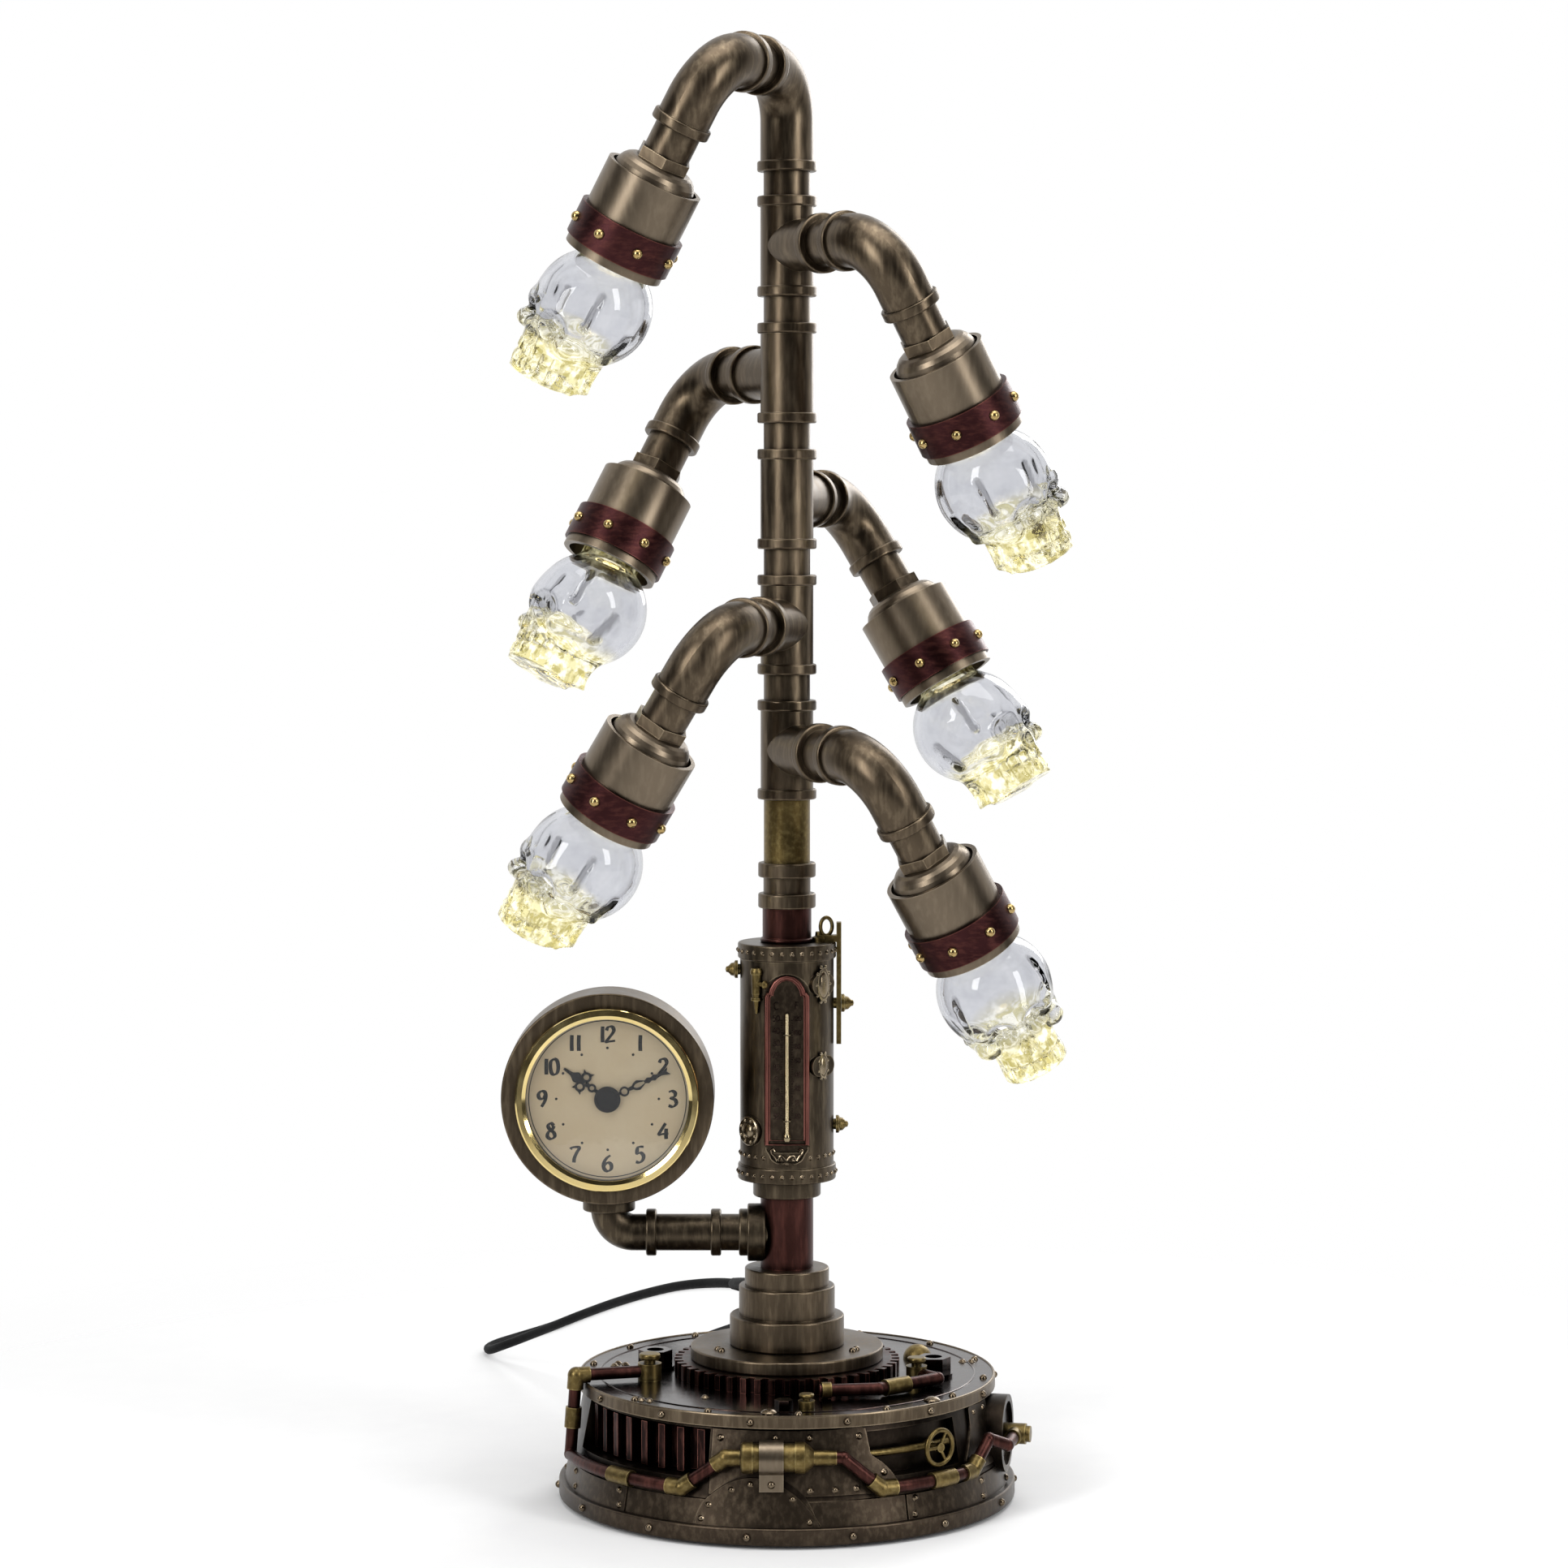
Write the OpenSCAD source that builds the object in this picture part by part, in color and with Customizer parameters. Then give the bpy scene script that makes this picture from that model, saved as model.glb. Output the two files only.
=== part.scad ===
// Pipe desk lamp with six skull lamps and a clock
// Sizes in millimetres. The origin is under the middle of the base, +Z is up and the front faces -Y.

/* [Base] */
// Radius of the bottom rim
base_r = 101.5; // [100:0.5:110]
// Height of the bottom rim band
rim_h = 7.5; // [5:0.5:9]
// Skirt radius just above the rim
skirt_low_r = 98; // [96.5:0.5:99]
// Skirt radius under the lid
skirt_top_r = 90; // [88:0.5:91.5]
// Height of the skirt's top above the table
skirt_top_z = 49.8; // [48.5:0.1:54]
// Radius of the hollow inside the skirt
skirt_bore_r = 84; // [82:0.5:85]
// Radius of the bottom plate
plate_r = 93; // [90:0.5:95]
// Thickness of the bottom plate
plate_t = 3; // [2.5:0.5:4]
// Thickness of the foot pads
pad_t = 1.5; // [1:0.1:3]
// Radius of a foot pad
pad_r = 9; // [6:0.5:12]
// Distance of the foot pads from the middle
pad_ring_r = 74; // [60:1:80]
// Radius of the ballast weight
ballast_r = 68; // [40:1:74]
// Thickness of the ballast weight
ballast_t = 9; // [5:0.5:12]
// Radius of the lid
lid_r = 92.5; // [92:0.1:93.5]
// Thickness of the lid
lid_t = 5.2; // [4:0.1:6]
// Tip radius of the ring gear on the lid
gear_r = 50; // [47:0.5:51]
// Depth of the ring gear's teeth
gear_tooth = 3.4; // [2:0.1:4]
// Height of the ring gear
gear_h = 6.5; // [5:0.1:8]
// Number of teeth on the ring gear
gear_n = 48; // [36:1:60]
// Radius of the disc flange
disc_r = 42.8; // [40:0.1:45]
// Thickness of the disc flange
disc_h = 6; // [4:0.1:8]
// Radius of the neck flange
neck_flange_r = 25.4; // [24:0.1:28]
// Height of the neck flange
neck_flange_h = 13.5; // [11:0.1:15]
// Radius of the neck collar
neck_r = 21.3; // [20:0.1:23]
// Height of the neck collar
neck_h = 13.2; // [13:0.1:16]
// Radius of the neck cap
cap_r = 18.7; // [16:0.1:20]
// Height of the neck cap
cap_h = 8; // [6:0.1:10]

/* [Base trim] */
// Radius of the trim pipes
trim_r = 2.7; // [2:0.1:3]
// Wall of the brass sleeves on the trim pipes
sleeve_wall = 0.9; // [0.6:0.1:1.2]
// Radius of the pressure cylinder
cylinder_r = 6.7; // [5.5:0.1:7.2]
// Length of the pressure cylinder
cylinder_len = 29; // [26:0.5:32]
// Radius of the handwheel
wheel_r = 8.6; // [7:0.1:9]
// Radius of the side port on the skirt
port_r = 17; // [14:0.5:18]
// Radius of the lid's hex nuts over their corners
lid_nut_r = 7.6; // [6:0.1:8]
// Radius of the rivet heads
rivet_r = 1.7; // [1.2:0.1:2]
// Number of rivets in each ring on the base
rivet_n = 14; // [12:1:24]

/* [Column] */
// Radius of the threaded tie tube through the column
tie_r = 5; // [4:0.1:6]
// Wall of the tie tube
tie_wall = 1.5; // [1:0.1:2]
// Radius of the lower copper stem
low_stem_r = 11.7; // [11:0.1:13]
// Length of the lower copper stem
low_stem_h = 32.1; // [31:0.1:36]
// Radius of the collar under the gauge housing
house_collar_r = 15; // [14.5:0.1:17]
// Height of the collar under the gauge housing
house_collar_h = 7.7; // [6:0.1:9]
// Radius of the gauge housing
house_r = 20.7; // [19.5:0.1:22]
// Height of the gauge housing
house_h = 105.3; // [103:0.1:110]
// Radius of the hollow in the gauge housing
house_bore_r = 13; // [11:0.1:14]
// Radius of the upper copper stem
up_stem_r = 10.8; // [10.4:0.1:12]
// Length of the upper copper stem
up_stem_h = 15.2; // [13:0.1:18]
// Radius of the coupling's collars
coupling_r = 12.7; // [12:0.1:14]
// Length of the coupling
coupling_h = 20.1; // [18:0.1:24]
// Length of the brass stem below the first tee
brass_stem_h = 28; // [26:0.1:32]
// Width of the thermometer frame
frame_w = 20; // [17:0.1:21]
// Height of the thermometer frame
frame_h = 78.5; // [74:0.1:80]
// Width of the thermometer frame's border
frame_border = 2; // [1.5:0.1:2.5]

/* [Pipework] */
// Radius of the pipe nipples
pipe_r = 10.2; // [9.5:0.1:10.6]
// Wall of the pipe nipples
pipe_wall = 2.2; // [1.5:0.1:2.8]
// Radius of the tees and elbows
tee_r = 11.6; // [11.4:0.1:12.2]
// Radius of the end beads
bead_r = 13; // [12.6:0.1:13.8]
// Width of the end beads
bead_w = 4.6; // [3.5:0.1:5.5]
// Length of a tee from end to end
tee_len = 43.7; // [42:0.1:46]
// Distance from tee to tee on the column
tee_pitch = 55; // [53:0.5:60]
// Length of a tee's branch from the column's axis
branch_len = 32.1; // [30:0.1:36]
// Depth of the threaded sockets
socket_d = 7; // [5:0.1:8]
// Visible length of the branch nipples
branch_gap = 14.4; // [10:0.1:20]
// Bend radius of the arm elbows
bend_r = 22; // [20:0.5:23]
// Length of an elbow's inlet leg from its corner
elbow_in = 29.4; // [29:0.1:33]
// Length of an elbow's outlet leg from its corner
elbow_out = 34.3; // [30.5:0.1:38]
// Visible length of the top nipple
top_gap = 10.5; // [8:0.1:14]
// Length of the top elbow's lower leg
top_leg = 43.6; // [40:0.1:48]
// Length of the top elbow's outlet leg
top_out = 29.7; // [29:0.1:33]
// Visible length of the top branch nipple
top_branch_gap = 12; // [10:0.1:18]

/* [Lamps] */
// Visible length of the pipe between an elbow and its nut
drop_gap = 12; // [10:0.1:16]
// Radius of the hex nuts over their corners
nut_r = 12.5; // [12.2:0.1:14]
// Height of the hex nuts
nut_h = 4.8; // [4:0.1:7]
// Height of the domed cap over a lamp cup
dome_h = 9; // [7:0.1:11]
// Radius of the domed cap at its foot
dome_r = 18.6; // [17:0.1:19]
// Outer radius of a lamp cup
cup_r = 21.45; // [21.2:0.05:23]
// Wall of a lamp cup
cup_wall = 1.9; // [1.5:0.1:2.1]
// Depth of a lamp cup below its floor
cup_depth = 37.5; // [36:0.1:42]
// Height of the cup's lip above its floor
cup_lip = 2.9; // [2:0.1:4]
// Thickness of the floor in a lamp cup
cup_floor = 3; // [2:0.1:4]
// Height of the copper band
band_h = 15.4; // [12:0.1:17]
// Thickness of the copper band
band_t = 2.05; // [1.5:0.05:2.5]
// Height of the plain rim at the cup's mouth
mouth_h = 3.8; // [3:0.1:5]
// Radius of the rivets on the copper bands
band_rivet_r = 2.3; // [1.8:0.1:2.6]
// Number of rivets on each copper band
band_rivet_n = 8; // [6:1:10]
// Radius of a skull's glass neck
skull_neck_r = 13.5; // [12:0.1:14]
// Running clearance round the glass neck
neck_clear = 0.06; // [0.04:0.01:0.1]
// Radius of a skull's cranium
skull_r = 26.2; // [25:0.1:27]
// Glass thickness of a skull
skull_wall = 2.6; // [2:0.1:3.2]
// Distance from the cup's mouth to the chin
skull_drop = 58.5; // [57:0.1:62]

/* [Clock] */
// Outer radius of the clock case
case_r = 46.9; // [45:0.1:49]
// Depth of the clock case
case_d = 28; // [26:0.5:32]
// Bore of the clock case
case_bore_r = 37.2; // [36.8:0.1:38]
// Distance from the column to the clock's axis
clock_x = 79; // [77:0.5:84]
// Height of the clock's axis
clock_z = 179; // [178:0.5:183]
// Running clearance of the clock insert in its bore
insert_clear = 0.1; // [0.05:0.01:0.1]
// Outer radius of the bezel
bezel_r = 40.5; // [39.5:0.1:42]
// Radius of the opening in the bezel
bezel_open_r = 35.9; // [35.3:0.1:36.2]
// Depth of the bezel
bezel_d = 3.6; // [3:0.1:4.5]
// Length of the minute hand
minute_len = 30.3; // [26:0.1:31]
// Length of the hour hand
hour_len = 23.4; // [18:0.1:25]
// Radius of the cap over the hands
hand_cap_r = 5.8; // [4.5:0.1:6.5]
// Radius of the clock's pipe
clock_pipe_r = 8.1; // [7.5:0.1:9]
// Height of the clock's pipe above the table
clock_pipe_z = 117.5; // [116:0.1:119]
// Bend radius of the clock's elbow
clock_bend_r = 11; // [10:0.1:12]
// Radius of the beads on the clock's pipe
clock_bead_r = 10.4; // [9.8:0.1:10.8]

/* [Cord] */
// Diameter of the cord
cord_d = 4.5; // [4:0.1:4.6]
// Turns in each layer of the coil
coil_turns = 1.8125; // [1.8125:1:2.8125]
// Radius of the coil's innermost turn
coil_in_r = 20.6; // [19:0.1:22]
// Step from turn to turn and from layer to layer
coil_step = 5.1; // [5.05:0.05:5.4]
// Length of the inline switch
switch_len = 64; // [58:0.5:66]
// Width of the inline switch
switch_w = 26; // [22:0.5:30]
// Height of the inline switch
switch_h = 16; // [15:0.5:18]
// Length of the rocker
rocker_len = 16; // [14:0.5:18]
// Width of the rocker
rocker_w = 10; // [8:0.5:12]
// Length of the plug's body
plug_len = 32; // [28:0.5:36]
// Width of the plug's body
plug_w = 22; // [18:0.5:23]
// Height of the plug's body
plug_h = 16; // [15:0.5:18]

/* [Hidden] */
$fn = 48;

// Colours
bronze = [0.36, 0.31, 0.26];
dark_bronze = [0.20, 0.17, 0.15];
copper = [0.55, 0.27, 0.22];
brass = [0.66, 0.57, 0.28];
gold = [0.80, 0.65, 0.33];
steel = [0.55, 0.55, 0.56];
glass = [0.85, 0.88, 0.86, 0.45];
ivory = [0.86, 0.80, 0.66];
black = [0.07, 0.07, 0.07];

// Clearance between fixed pieces that slip together
fit = 0.05;
// How far a cutter runs past a face
over = 1;
// Width of the eased edges
ease = 0.8;

// Heights of the faces in the stack from the table up
plate_z = pad_t;
plate_top = plate_z + plate_t;
rim_top = plate_z + rim_h;
lid_top = skirt_top_z + lid_t;
gear_top = lid_top + gear_h;
disc_top = gear_top + disc_h;
flange_top = disc_top + neck_flange_h;
neck_top = flange_top + neck_h;
cap_top = neck_top + cap_h;
stem_top = cap_top + low_stem_h;
house_z = stem_top + house_collar_h;
house_top = house_z + house_h;
up_stem_top = house_top + up_stem_h;
coupling_top = up_stem_top + coupling_h;
brass_top = coupling_top + brass_stem_h;
tee_z = brass_top + tee_len / 2;
tee_count = 5;
top_z = tee_z + (tee_count - 1) * tee_pitch + tee_len / 2 + top_gap + top_leg;

// Tie tube and its nuts
tie_bore = tie_r + fit;
tie_nut_r = tie_r * 1.5;
tie_nut_h = 8;
tie_seat = coupling_top + 12;
pipe_bore = pipe_r - pipe_wall;
socket_r = pipe_r + fit;

// Places round the base are given by a radius, an angle from the front (positive to the right) and a height
function place(r, a, z) = [r * sin(a), -r * cos(a), z];
function skirt_at(z) = skirt_low_r - (skirt_low_r - skirt_top_r) * (z - rim_top) / (skirt_top_z - rim_top);
wall_least = 5;
rim_wall = 4;
bore_r = min(skirt_bore_r, skirt_top_r - wall_least);
plate_edge_r = min(plate_r, base_r - rim_wall);
skirt_wide_r = max(skirt_low_r, skirt_top_r);
cut_r = max(base_r, skirt_wide_r) + over;
skirt_slope = atan((skirt_low_r - skirt_top_r) / (skirt_top_z - rim_top));

// Windows and plates of the skirt
window_from = -72;
window_to = -21;
recess_from = 22;
recess_to = 52;
window_z = rim_top + 18.5;
window_h = skirt_top_z - 1.5 - window_z;
recess_h = skirt_top_z - 2.8 - window_z;
recess_r = bore_r + 3;
front_plate_x = -12;
front_plate_r = 25;
front_plate_rise = 0.8;
port_angle = 78;
port_z = skirt_top_z - port_r - 1;
port_face = skirt_wide_r + 1.5;
port_floor = port_face - 2;
port_root = bore_r + 4;
port_rim = 3;

// Trim pipes on the base
trim_out = trim_r + sleeve_wall;
trim_joint = 0.15;
elbow_leg = 6;
low_pipe_z = rim_top + 15;
low_pipe_r = skirt_at(low_pipe_z) + (trim_out + trim_joint + fit) / cos(skirt_slope);
lid_pipe_z = lid_top + trim_out + trim_joint + fit;
drop_r = max(lid_r, skirt_top_r) + trim_out + trim_joint + fit;
left_angle = -74;
left_end = -27;
right_start = 24;
right_end = 54;
cylinder_x = -19.6;
cylinder_y = -skirt_at(skirt_top_z - 11.8) - 1.7;
cylinder_z = skirt_top_z - 11.8;
cylinder_body_r = cylinder_r - 0.6;
nipple_r = 3.2;
nipple_len = 11.6;
nipple_x = cylinder_x + cylinder_len + nipple_len;
strap_from = 7.8;
strap_w = 10.3;
strap_t = 1.4;
boss_r = 63;
valve_r = 4.6;
valve_out = port_face + trim_out;
valve_stub = 9;
lid_valve = [57, -23];
front_knob = [8.3, -77.4];
wheel_angle = 42.4;
wheel_z = window_z + 9.7;
wheel_out = skirt_at(wheel_z) + 4.4;
wheel_pipe_r = 1.6;
wheel_pipe_out = recess_r + 3.2;
wheel_stem_r = 1.4;
wheel_rim = 1.1;

// Trim pipe routes
left_drop = [
    place(boss_r, left_angle, lid_pipe_z),
    place(drop_r, left_angle, lid_pipe_z),
    place(low_pipe_r, left_angle, low_pipe_z)
];
left_rise = [
    place(low_pipe_r, left_end, low_pipe_z),
    [cylinder_x - 6.4, cylinder_y, cylinder_z],
    [cylinder_x, cylinder_y, cylinder_z]
];
right_fall = [
    [nipple_x, cylinder_y, cylinder_z],
    [nipple_x + 3, cylinder_y, cylinder_z],
    place(low_pipe_r, right_start, low_pipe_z)
];
right_rise = [
    place(low_pipe_r, right_end, low_pipe_z),
    port_point([port_face - 3.5, -30, 4]),
    port_point([valve_out, -23, 0]),
    port_point([valve_out, -valve_stub, 0])
];
lid_route = [
    [14, -57.5, lid_pipe_z],
    [40, -54, lid_pipe_z],
    [66, -33, lid_pipe_z],
    [lid_valve[0], lid_valve[1], lid_pipe_z]
];
// A point given outward, sideways and upward from the axis of the side port
function port_point(p) = [
    p[0] * sin(port_angle) + p[1] * cos(port_angle),
    -p[0] * cos(port_angle) + p[1] * sin(port_angle),
    port_z + p[2]
];

// Gauge housing
house_ring = 1;
house_ring_h = 7;
house_roof = 6;
frame_depth = 2.6;
frame_back = 1.2;
flat_y = sqrt(house_r * house_r - pow(frame_w / 2 + 0.2, 2));
frame_z = house_z + 14.4;
tube_r = 1.1;
bulb_r = 1.7;
tube_y = flat_y + frame_back + bulb_r + fit;
bolt_r = 2.4;
lever_x = house_r + house_ring + 0.2;
lever_t = 2.1;
lever_w = 5;

// Arms: azimuth of the branch, side the lamp drops to, tilt from the vertical, azimuth the face looks to
arm_azimuth = [245, 300.5, 120, 71, 247, 298.5];
arm_side = [-1, 1, 1, -1, -1, 1];
arm_tilt = [30, 30, 30, 31.5, 32.5, 31];
face_azimuth = [220, 310, 208, 322, 218, 276];
function arm_z(i) = i == 0 ? top_z : tee_z + (tee_count - i) * tee_pitch;
function branch_face(i) = i == 0 ? top_out : branch_len;
function branch_nipple(i) = i == 0 ? top_branch_gap : branch_gap;
function arm_reach(i) = branch_face(i) + branch_nipple(i) + elbow_in;
function drop_azimuth(i) = arm_azimuth[i] + 90 * arm_side[i];
// Turn of the skull about its lamp's axis that brings the face to its azimuth
function face_turn(i) = let (a = face_azimuth[i] - drop_azimuth(i))
    atan2(sin(a), -cos(a) * cos(arm_tilt[i]));

// Distances along a lamp's axis from the elbow's corner
nut_s = elbow_out + drop_gap;
dome_s = nut_s + nut_h;
floor_s = dome_s + dome_h;
mouth_s = floor_s + cup_depth;
band_s = mouth_s - mouth_h - band_h;
cup_in_r = cup_r - cup_wall;
rim_out_r = cup_r + 0.75;
wire_r = 6;
holder_s = mouth_s - 16;
holder_h = 6;
neck_start = -19;
led_r = 11;
led_h = 3;

// Clock
case_front = case_d / 2 + 1;
case_wall = 3;
seat_gap = 0.1;
insert_front = case_front + seat_gap;
can_r = case_bore_r - insert_clear;
can_depth = 19;
dial_sink = 4;
dial_t = 0.8;
dial_z = insert_front - dial_sink;
lens_t = 1.4;
lens_r = can_r - 0.1;
arbor_r = 1.2;
hour_post_r = 2;
hand_clear = 0.05;
hand_t = 0.6;
hand_gap = 0.5;
hour_z = dial_z + dial_t + hand_gap;
minute_z = hour_z + hand_t + hand_gap;
minute_turn = 64.7;
hour_turn = 305.4;
hub_r = 4.4;
// Flared end of the clock's pipe, let into the stem's side
flare_r = 12.8;
flare_w = 8;
flare_in = 2.2;
clock_collar_r = clock_pipe_r + 3.5;
clock_collar_h = 9;
// Places of the beads along the clock's pipe
clock_beads = [16.5, 45.2, 57.7];

// Inline switch and plug lying behind the base
switch_at = [-13.65, 247.85];
switch_angle = -45;
rocker_pivot_z = switch_h - 3;
rocker_tilt = 8;
rocker_gap = 0.7;
pocket_d = 8;
axle_r = 1.2;
axle_clear = 0.07;
axle_end = 2;
plug_at = [-10, 116];
pin_gap = 12.7;
pin_len = 17;
pin_w = 6.3;
pin_t = 1.5;

// Cord gland on the back of the neck
gland_angle = 120;
gland_z = (flange_top + neck_top) / 2;
gland_seat = sqrt(neck_r * neck_r - 6.4 * 6.4) - 0.1;
gland_flange_r = 6.2;
gland_stub_r = 4.5;
gland_out = 28;

// Points that the cord passes through
lead_points = [[-14, 24.25, gland_z], [-21, 36, 87], [-33, 66, 82], [-49, 98, 74.5], [-65, 130, 65],
    [-82, 162, 54], [-99, 194, 42], [-117, 226, 29], [-135, 258, 16], [-147, 277, 8], [-153, 290, 3.6],
    [-154.5, 301, 2.6], [-150, 313, 2.6], [-140.5, 329, 2.6], [-124.5, 356, 2.6], [-108.5, 390, 2.6],
    [-92.5, 421, 2.6], [-75.5, 448, 2.6], [-58.5, 466, 2.6], [-41, 473, 2.6], [-24, 471, 2.6],
    [-8, 462, 2.6], [4, 446, 2.6], [8, 427, 2.6], [3, 407, 2.6], [-9, 385, 2.6], [-24, 360, 2.6],
    [-39, 334, 2.6], [-49, 312, 2.6], [-52, 297, 2.6], [-46.5, 282.5, 4], [-36.28, 270.48, 6]];
run_points = [[8.98, 225.22, 6], [20, 214, 5], [35, 199, 4], [47.9, 186.3, 3.8]];
tail_points = [[47.9, 137.7, 19.1], [38, 128, 17.5], [24, 119, 12], [8, 115.5, 6.5], [-4, 116, 8],
    [-10, 116, 8]];

// Points of a rounded edge at the end of a turned piece: way is 1 at its upper end and -1 at its lower end
function eased(r, z, way) = [for (a = [0 : 30 : 90])
    [r - ease * (1 - cos(a)), z - way * ease * (1 - sin(a))]];
function reversed(v) = [for (i = [len(v) - 1 : -1 : 0]) v[i]];
function unit(v) = v / norm(v);

// A turned ring with rounded edges
module eased_ring(r, bore, h) {
    rotate_extrude()
        polygon(concat([[bore, 0]], reversed(eased(r, 0, -1)), eased(r, h, 1), [[bore, h]]));
}

// A plain ring
module ring(r, bore, h) {
    difference() {
        cylinder(r = r, h = h);
        translate([0, 0, -over]) cylinder(r = bore, h = h + 2 * over);
    }
}

// A round-headed rivet standing on z = 0
module rivet(r) {
    rotate_extrude() intersection() {
        circle(r = r);
        square(r);
    }
}

// A round bar from one point to another
module rod(p, q, r) {
    d = q - p;
    l = norm(d);
    translate(p) rotate([0, acos(d[2] / l), atan2(d[1], d[0])]) cylinder(r = r, h = l);
}

// Children turned to stand outward from the axis, at an angle round the base
module outward(a, r, z) {
    rotate([0, 0, a - 90]) translate([r, 0, z]) rotate([0, 90, 0]) children();
}

// A block swept round the base between two angles
module sector(from, to, r_in, r_out, z, h) {
    rotate([0, 0, from - 90]) rotate_extrude(angle = to - from)
        translate([r_in, z]) square([r_out - r_in, h]);
}

// The cone of the skirt, grown by a margin
module skirt_cone(margin) {
    translate([0, 0, rim_top])
        cylinder(r1 = skirt_low_r + margin, r2 = skirt_top_r + margin, h = skirt_top_z - rim_top);
}

// Base

// One pad in the middle and four round it
module foot_pads() {
    color(black) {
        cylinder(r = pad_r, h = pad_t);
        for (a = [45 : 90 : 315]) rotate([0, 0, a]) translate([pad_ring_r, 0, 0])
            cylinder(r = pad_r, h = pad_t);
    }
}

screw_ring_r = (bore_r + plate_edge_r) / 2;
screw_r = 1.5;
screw_head_r = 3;
screw_head_h = 1.2;
screw_grip = 8;

// Screws up through the bottom plate, grown by a margin
module plate_screws(margin) {
    for (a = [45 : 90 : 315]) rotate([0, 0, a]) translate([screw_ring_r, 0, plate_z]) {
        cylinder(r = screw_head_r + margin, h = screw_head_h);
        cylinder(r = screw_r + margin, h = plate_t + screw_grip);
    }
}

module bottom_plate() {
    color(dark_bronze) difference() {
        translate([0, 0, plate_z]) cylinder(r = plate_edge_r, h = plate_t);
        plate_screws(fit);
    }
}

module bottom_screws() {
    color(steel) plate_screws(0);
}

module ballast_weight() {
    color(steel) translate([0, 0, plate_top]) ring(ballast_r, 2 * tie_r, ballast_t);
}

module skirt_wall() {
    rotate_extrude() polygon(concat([[bore_r, plate_z]], reversed(eased(base_r, plate_z, -1)),
        eased(base_r, rim_top, 1), [[skirt_low_r, rim_top], [skirt_top_r, skirt_top_z],
        [bore_r, skirt_top_z]]));
}

module front_plate() {
    difference() {
        intersection() {
            skirt_cone(front_plate_rise);
            translate([front_plate_x, 0, rim_top - 3]) rotate([90, 0, 0])
                cylinder(r = front_plate_r, h = cut_r);
        }
        cylinder(r = bore_r + 2, h = skirt_top_z + over);
    }
}

module cylinder_pocket() {
    translate([cylinder_x - fit, cylinder_y, cylinder_z]) rotate([0, 90, 0]) {
        cylinder(r = cylinder_r + fit, h = cylinder_len + 2);
        cylinder(r = nipple_r + over, h = cylinder_len + nipple_len);
    }
}

module base_skirt() {
    color(bronze) difference() {
        union() {
            skirt_wall();
            front_plate();
            outward(port_angle, port_root, port_z) cylinder(r = port_r, h = port_face - port_root);
        }
        sector(window_from, window_to, bore_r - over, cut_r, window_z, window_h);
        sector(recess_from, recess_to, recess_r, cut_r, window_z, recess_h);
        outward(port_angle, port_floor, port_z)
            cylinder(r = port_r - port_rim, h = port_face - port_floor + over);
        cylinder_pocket();
        translate([0, 0, plate_z - over]) cylinder(r = plate_edge_r + fit, h = plate_t + over);
        plate_screws(fit);
    }
}

window_teeth = 8;
window_gear_t = 6;
window_lap = 4;
window_tooth_w = 3.2;
window_tooth_r = bore_r + 5.5;

// Outline of the toothed strip behind the window
function window_outline() = let (
        pitch = (window_to - window_from) / window_teeth,
        half = asin(window_tooth_w / 2 / bore_r),
        root = bore_r - fit,
        from = window_from - window_lap,
        span = window_to - window_from + 2 * window_lap)
    concat([place(root, from, 0)],
        [for (i = [0 : window_teeth - 1]) let (a = window_from + (i + 0.5) * pitch)
            for (p = [[root, -half], [window_tooth_r, -half], [window_tooth_r, half], [root, half]])
                place(p[0], a + p[1], 0)],
        [place(root, from + span, 0)],
        [for (k = [window_teeth : -1 : 0]) place(root - window_gear_t, from + span * k / window_teeth, 0)]);

module window_gear() {
    color(dark_bronze) translate([0, 0, window_z + 1]) linear_extrude(window_h - 2)
        polygon([for (p = window_outline()) [p[0], p[1]]]);
}

spigot_w = 8;
spigot_h = 1.2;

module base_lid() {
    color(dark_bronze) translate([0, 0, skirt_top_z]) rotate_extrude()
        polygon(concat([[tie_bore, 0], [bore_r - spigot_w, 0], [bore_r - spigot_w, -spigot_h],
            [bore_r - fit, -spigot_h], [bore_r - fit, 0]], reversed(eased(lid_r, 0, -1)),
            eased(lid_r, lid_t, 1), [[tie_bore, lid_t]]));
}

module tie_tube() {
    color(steel) translate([0, 0, skirt_top_z - tie_nut_h - 4])
        ring(tie_r, tie_r - tie_wall, tie_seat + tie_nut_h + 2 - skirt_top_z + tie_nut_h + 4);
}

module tie_nut() {
    difference() {
        cylinder(r = tie_nut_r, h = tie_nut_h, $fn = 6);
        translate([0, 0, -over]) cylinder(r = tie_bore, h = tie_nut_h + 2 * over);
    }
}

module tie_nuts() {
    color(steel) {
        translate([0, 0, skirt_top_z - tie_nut_h]) tie_nut();
        translate([0, 0, tie_seat]) tie_nut();
    }
}

// Outline of one gear tooth after another, each with a root and a narrower tip
function gear_outline() = [for (i = [0 : gear_n - 1]) for (p = [[-0.3, 1], [-0.2, 0], [0.2, 0], [0.3, 1]])
    let (a = 360 * (i + p[0]) / gear_n, r = gear_r - p[1] * gear_tooth) [r * cos(a), r * sin(a)]];

module ring_gear() {
    color(dark_bronze) translate([0, 0, lid_top]) difference() {
        linear_extrude(gear_h) polygon(gear_outline());
        translate([0, 0, -over]) cylinder(r = tie_bore, h = gear_h + 2 * over);
    }
}

module disc_flange() {
    color(bronze) translate([0, 0, gear_top]) eased_ring(disc_r, tie_bore, disc_h);
}

gland_spigot_r = 3.5;
gland_spigot = 8;

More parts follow.
